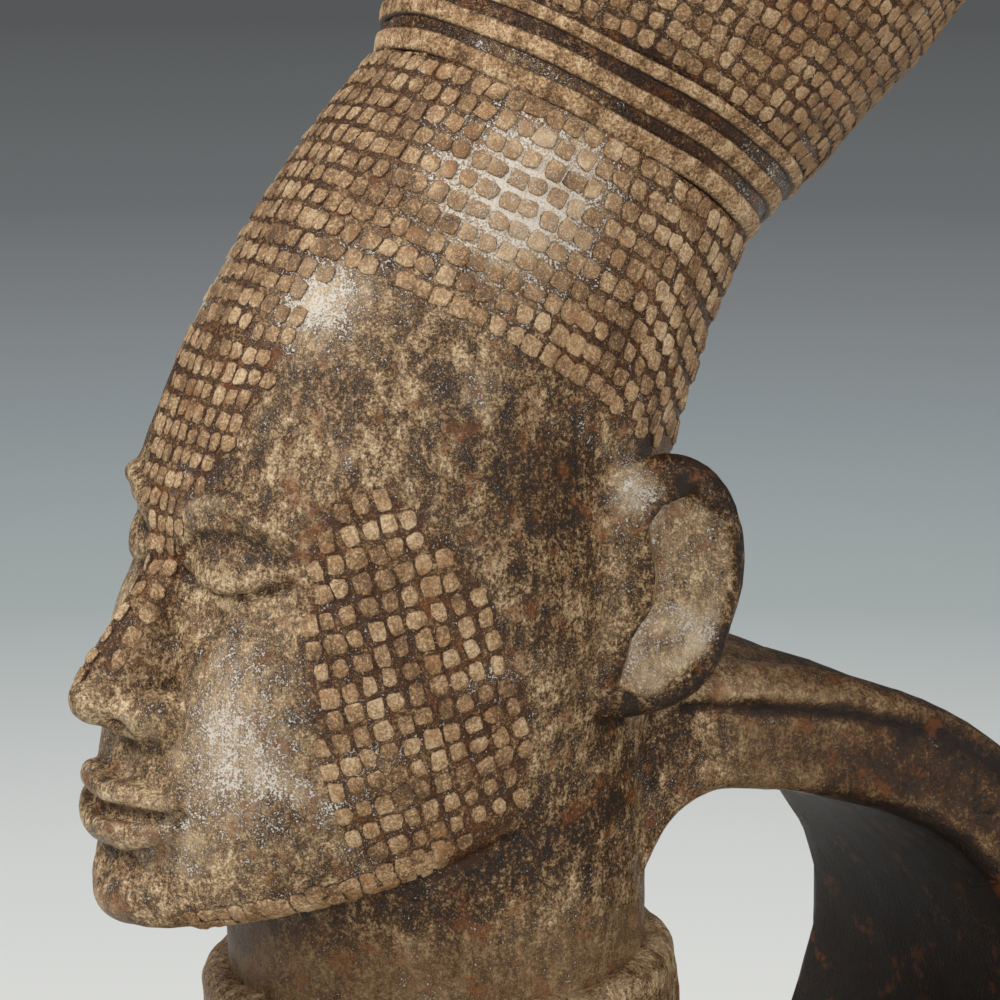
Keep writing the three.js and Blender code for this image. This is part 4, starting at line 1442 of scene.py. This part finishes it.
def padKinds():  # low rounded blocks with flattened tops, a little different from one another
    draw = random.Random(pads["seed"])
    group = bpy.data.collections.new("padKinds")
    count = pads["sides"]
    levels = [(1.04, -pads["sunk"] / pads["proud"], 0), (1.0, 0.3, 0.35), (0.87, 0.85, 0.9), (0.5, 1.0, 1.0)]
    for kind in range(pads["kinds"]):
        squareness = draw.uniform(0.5, 0.85)
        outline = []
        for i in range(count):
            a = (i + draw.uniform(-0.18, 0.18)) / count * 2 * math.pi
            r = 1 + draw.uniform(-0.1, 0.1)
            swings = math.cos(a), math.sin(a)
            outline.append([r * math.copysign(abs(swing) ** squareness, swing) for swing in swings])
        tip = [draw.uniform(-0.12, 0.12) for _ in range(2)]
        points = [(0, 0, levels[0][1])]
        rises = [0]
        for share, z, rise in levels:
            for x, y in outline:
                x, y = x * share + tip[0] * (1 - share), y * share + tip[1] * (1 - share)
                points.append((x, y, z + draw.uniform(-0.04, 0.04)))
            rises += [rise] * count
        points.append((*tip, 1.0 + draw.uniform(-0.1, 0.02)))
        rises.append(1)
        faces = [tuple(1 + v for v in corners) for corners in tubeFaces(count, len(levels) - 1, len(levels))]
        top = 1 + (len(levels) - 1) * count
        for i in range(count):
            j = (i + 1) % count
            faces += [(0, 1 + j, 1 + i), (top + i, top + j, len(points) - 1)]
        data = bpy.data.meshes.new("padKind" + str(kind))
        data.from_pydata(points, [], faces)
        data.shade_smooth()
        addMarks(data, {"padRise": rises})
        group.objects.link(bpy.data.objects.new("padKind" + str(kind), data))
    return group


def layPads(name, places, seed):
    places = [place for place in places if place]
    data = bpy.data.meshes.new(name)
    data.from_pydata([tuple(place["at"] * mm) for place in places], [], [])
    addMarks(data, {key: [place[key] for place in places] for key in ("padTone", "padShine", "padCalm")})
    sizes = np.array([place["size"] for place in places]) * mm
    addMarks(data, {"padTurn": [place["turn"] for place in places], "padSize": sizes}, "FLOAT_VECTOR")
    piece = placed(name, data)
    layer = piece.modifiers.new("pads", "NODES")
    layer.node_group = padTreeMade
    layer[padSockets["Kinds"]] = padKindsMade
    layer[padSockets["Seed"]] = seed
    layer[padSockets["Finish"]] = finishes["pad"]
    return dress(settled(piece, name), "worn_clay")


def turnOn(normal, along):  # the turn that stands z on the surface with x along the row
    z = Vector(normal).normalized()
    x = (Vector(along) - z * Vector(along).dot(z)).normalized()
    y = z.cross(x)
    return Matrix((x, y, z)).transposed().to_euler()[:]


def treeOf(piece):
    return BVHTree.FromObject(piece, bpy.context.evaluated_depsgraph_get())


def padAt(draw, surface, start, way, along, size):  # where a ray meets the clay
    at, normal = surface.ray_cast(Vector(start) * mm, Vector(way))[:2]
    if at is None:
        return None
    wide, tall = (half * draw.uniform(0.88, 1.12) for half in size)
    if draw.random() < 0.1:  # some pads run into the next
        wide *= 1.25
    at = np.array(at) / mm
    return {
        "at": at,
        "normal": normal,
        "turn": turnOn(normal, along(normal) if callable(along) else along),
        "size": (wide, tall, pads["proud"] * draw.uniform(0.75, 1.15)),
        "padTone": draw.random(),
        "padShine": float(polishShare(at[None])[0]) * draw.uniform(0.4, 1),
        "padCalm": 0.0,
    }


def leanPad(draw, surface, turn, height, size):
    axis = Vector((0, math.sin(lean["angle"]), math.cos(lean["angle"])))
    out = leanFrame.to_3x3() @ Vector((math.sin(turn), -math.cos(turn), 0))
    start = lean["seam"] + axis * height + out * pads["castFrom"]
    return padAt(draw, surface, start, -out, axis.cross, size)


def skullPlaces(surface):
    draw = random.Random(pads["seed"] + 1)
    places = []
    radius, growth, growing = pads["skullGirth"]
    for row in range(pads["skullRows"]):
        rowShift = draw.uniform(-0.35, 0.35)
        if row % pads["rowsAlike"] == 0:
            phase = draw.uniform(0, 1)
            girth = 2 * math.pi * (radius + growth * min(row, growing))
            count = round(girth / pads["columnPitch"])
        for column in range(count):
            turn = ((column + phase) / count * 360 + 180) % 360 - 180
            turn += draw.uniform(-0.09, 0.09) * 360 / count
            backness = float(ramp(abs(turn), 95, 135))
            pitch = pads["rowPitchFront"] + (pads["rowPitchBack"] - pads["rowPitchFront"]) * backness
            height = -0.2 - pitch * (row + 0.5) + draw.uniform(-0.13, 0.13) + rowShift * backness
            if height < float(hairline(np.array(turn))) + 0.3 or draw.random() < 0.012:
                continue
            size = (1.19, 1.22 + 0.3 * backness)
            places.append(leanPad(draw, surface, math.radians(turn), height, size))
    return places


def coiffurePlaces(surface):
    draw = random.Random(pads["seed"] + 2)
    places = []
    bandTop = bands["pitch"] * 3 + 0.4
    pitch = pads["coiffurePitch"]
    rows = int((coiffure["length"] - bandTop) / pitch)
    for row in range(rows):
        if row % pads["rowsAlike"] == 0:
            phase = draw.uniform(0, 1)
            count = round(2 * math.pi * float(coiffureRadius(bandTop + pitch * row)) / pitch)
        for column in range(count):
            turn = (column + phase + draw.uniform(-0.13, 0.13)) / count * 2 * math.pi
            height = bandTop + pitch * (row + 0.5) + draw.uniform(-0.2, 0.2)
            place = leanPad(draw, surface, turn, height, (1.03, 1.05))
            if place:  # the back is the darker and plainer side
                places.append({**place, "padCalm": 0.15 + 0.85 * float(ramp(-math.cos(turn), -0.1, 0.75))})
    return places


def cheekPlaces(surface):  # cheek patches, rows along the jaw, and the wedge from forehead to nose
    draw = random.Random(pads["seed"] + 3)
    places = []
    for side in (1, -1):
        places += patchPlaces(draw, surface, side) + jawPlaces(draw, surface, side)
    return places + wedgePlaces(draw, surface)


def patchPlaces(draw, surface, side):
    outward, backward = cheekAxes(side)
    upward = np.array([0, 0, 1])
    slant = math.radians(cheek["slant"])
    rowWay = backward * math.cos(slant) + upward * math.sin(slant)
    upWay = upward * math.cos(slant) - backward * math.sin(slant)
    middle = backward * cheek["middle"][0] + upward * cheek["middle"][1]
    places = []
    for row in range(-cheek["rows"], cheek["rows"] + 1):
        for column in range(-cheek["columns"], cheek["columns"] + 1):
            jitter = [draw.uniform(-0.25, 0.25) for _ in range(2)]
            spot = middle + rowWay * (column * cheek["pitch"][0] + jitter[0])
            spot = spot + upWay * (row * cheek["pitch"][1] + jitter[1])
            if cheekShare(np.array(spot @ backward), np.array(spot[2])) < 0.5:
                continue
            start = spot + outward * pads["castFrom"]
            place = padAt(draw, surface, start, -outward, rowWay, cheek["padSize"])
            if not place or place["normal"].dot(Vector(outward)) < 0.15:
                continue
            if place["at"][2] > jawPlaneAt(place["at"][1]) + 2.5:
                places.append(place)
    return places


def jawPlaces(draw, surface, side):
    places = []
    firstTurn, turnStep = jawRows["turn"]
    firstLevel, levelStep = jawRows["level"]
    for row in range(jawRows["rows"]):
        for column in range(jawRows["columns"]):
            turn = side * (firstTurn + turnStep * column + draw.uniform(-0.008, 0.008))
            level = np.array(firstLevel + levelStep * row + draw.uniform(-0.003, 0.003))
            here = skullPoints(level, np.array(turn))
            ahead = skullPoints(level, np.array(turn + 0.03 * side)) - here
            way = skullPoints(level, np.array(turn), 1.0) - here
            way /= np.linalg.norm(way)
            places.append(padAt(draw, surface, here + way * 8, -way, ahead, jawRows["size"]))
    return places


def wedgePlaces(draw, surface):
    places = []
    for row in range(wedge["rows"]):
        level = face["browLevel"] + wedge["top"] - wedge["pitch"][1] * row
        for column in range(-wedge["columns"], wedge["columns"] + 1):
            across = column * wedge["pitch"][0] + draw.uniform(-0.15, 0.15)
            if abs(across) > float(wedgeHalf(level)):
                continue
            here, out = onFace(across + 0.001, level + draw.uniform(-0.15, 0.15))
            place = padAt(draw, surface, here + out * 20, -out, np.array([1, 0, 0]), wedge["size"])
            if not place:
                continue
            turn, height, _ = leanPlace(place["at"][None])
            if height[0] < hairline(turn[0]) - 1.1:
                places.append(place)
    return places


# floor and backdrop

def makeFloor():
    size = studio["floorSize"]
    data = bpy.data.meshes.new("floor")
    corners = [(-size, -size, 0), (size, -size, 0), (size, size, 0), (-size, size, 0)]
    data.from_pydata(corners, [], [(0, 1, 2, 3)])
    g = Glaze("paleFloor")
    # painted pool of light: pale near the object, darker further away
    away = g.node("ShaderNodeVectorMath", {"operation": "LENGTH"}, {0: g.place}, out="Value")
    tint = g.tint((away / studio["floorFade"]).least(1.0), studio["floorLightPool"])
    seen = g.node("ShaderNodeLightPath", out="Is Camera Ray")
    painted = g.node("ShaderNodeBsdfDiffuse", None, {"Color": tint})
    shown = g.node("ShaderNodeEmission", None, {"Color": tint})
    mixed = g.node("ShaderNodeMixShader", None, {0: seen * studio["floorGlow"], 1: painted, 2: shown})
    g.node("ShaderNodeOutputMaterial", None, {"Surface": mixed})
    data.materials.append(g.material)
    placed("floor", data)


def setWorld():
    world = bpy.data.worlds.new("studio")
    world.use_nodes = True
    g = Graph(world.node_tree)
    light = {"Color": colour(studio["softLight"]), "Strength": studio["ambient"]}
    soft = g.node("ShaderNodeBackground", None, light)
    far = g.node("ShaderNodeBackground", None, {"Color": colour(studio["backdrop"])})
    seen, mirrored = (g.node("ShaderNodeLightPath", out=name) for name in ("Is Camera Ray", "Is Glossy Ray"))
    mixed = g.node("ShaderNodeMixShader", None, {0: seen.most(mirrored), 1: soft, 2: far})
    g.node("ShaderNodeOutputWorld", None, {"Surface": mixed})
    scene.world = world


setCamera()
setLamps()
setWorld()
makeFloor()
finishes = {"burnished": burnishedClay(), "pad": padClay(), "coil": coilClay()}
headClay = makeHead()
coiffureClay = makeCoiffure()
makeRim()
for bandIndex in range(len(bands["middles"])):
    makeBand(bandIndex)
makeBelly()
makeCollar()
padKindsMade = padKinds()
padTreeMade, padSockets = padTree()
headTree = treeOf(headClay)
layPads("skullPads", skullPlaces(headTree), 5)
layPads("coiffurePads", coiffurePlaces(treeOf(coiffureClay)), 6)
layPads("cheekPads", cheekPlaces(headTree), 8)
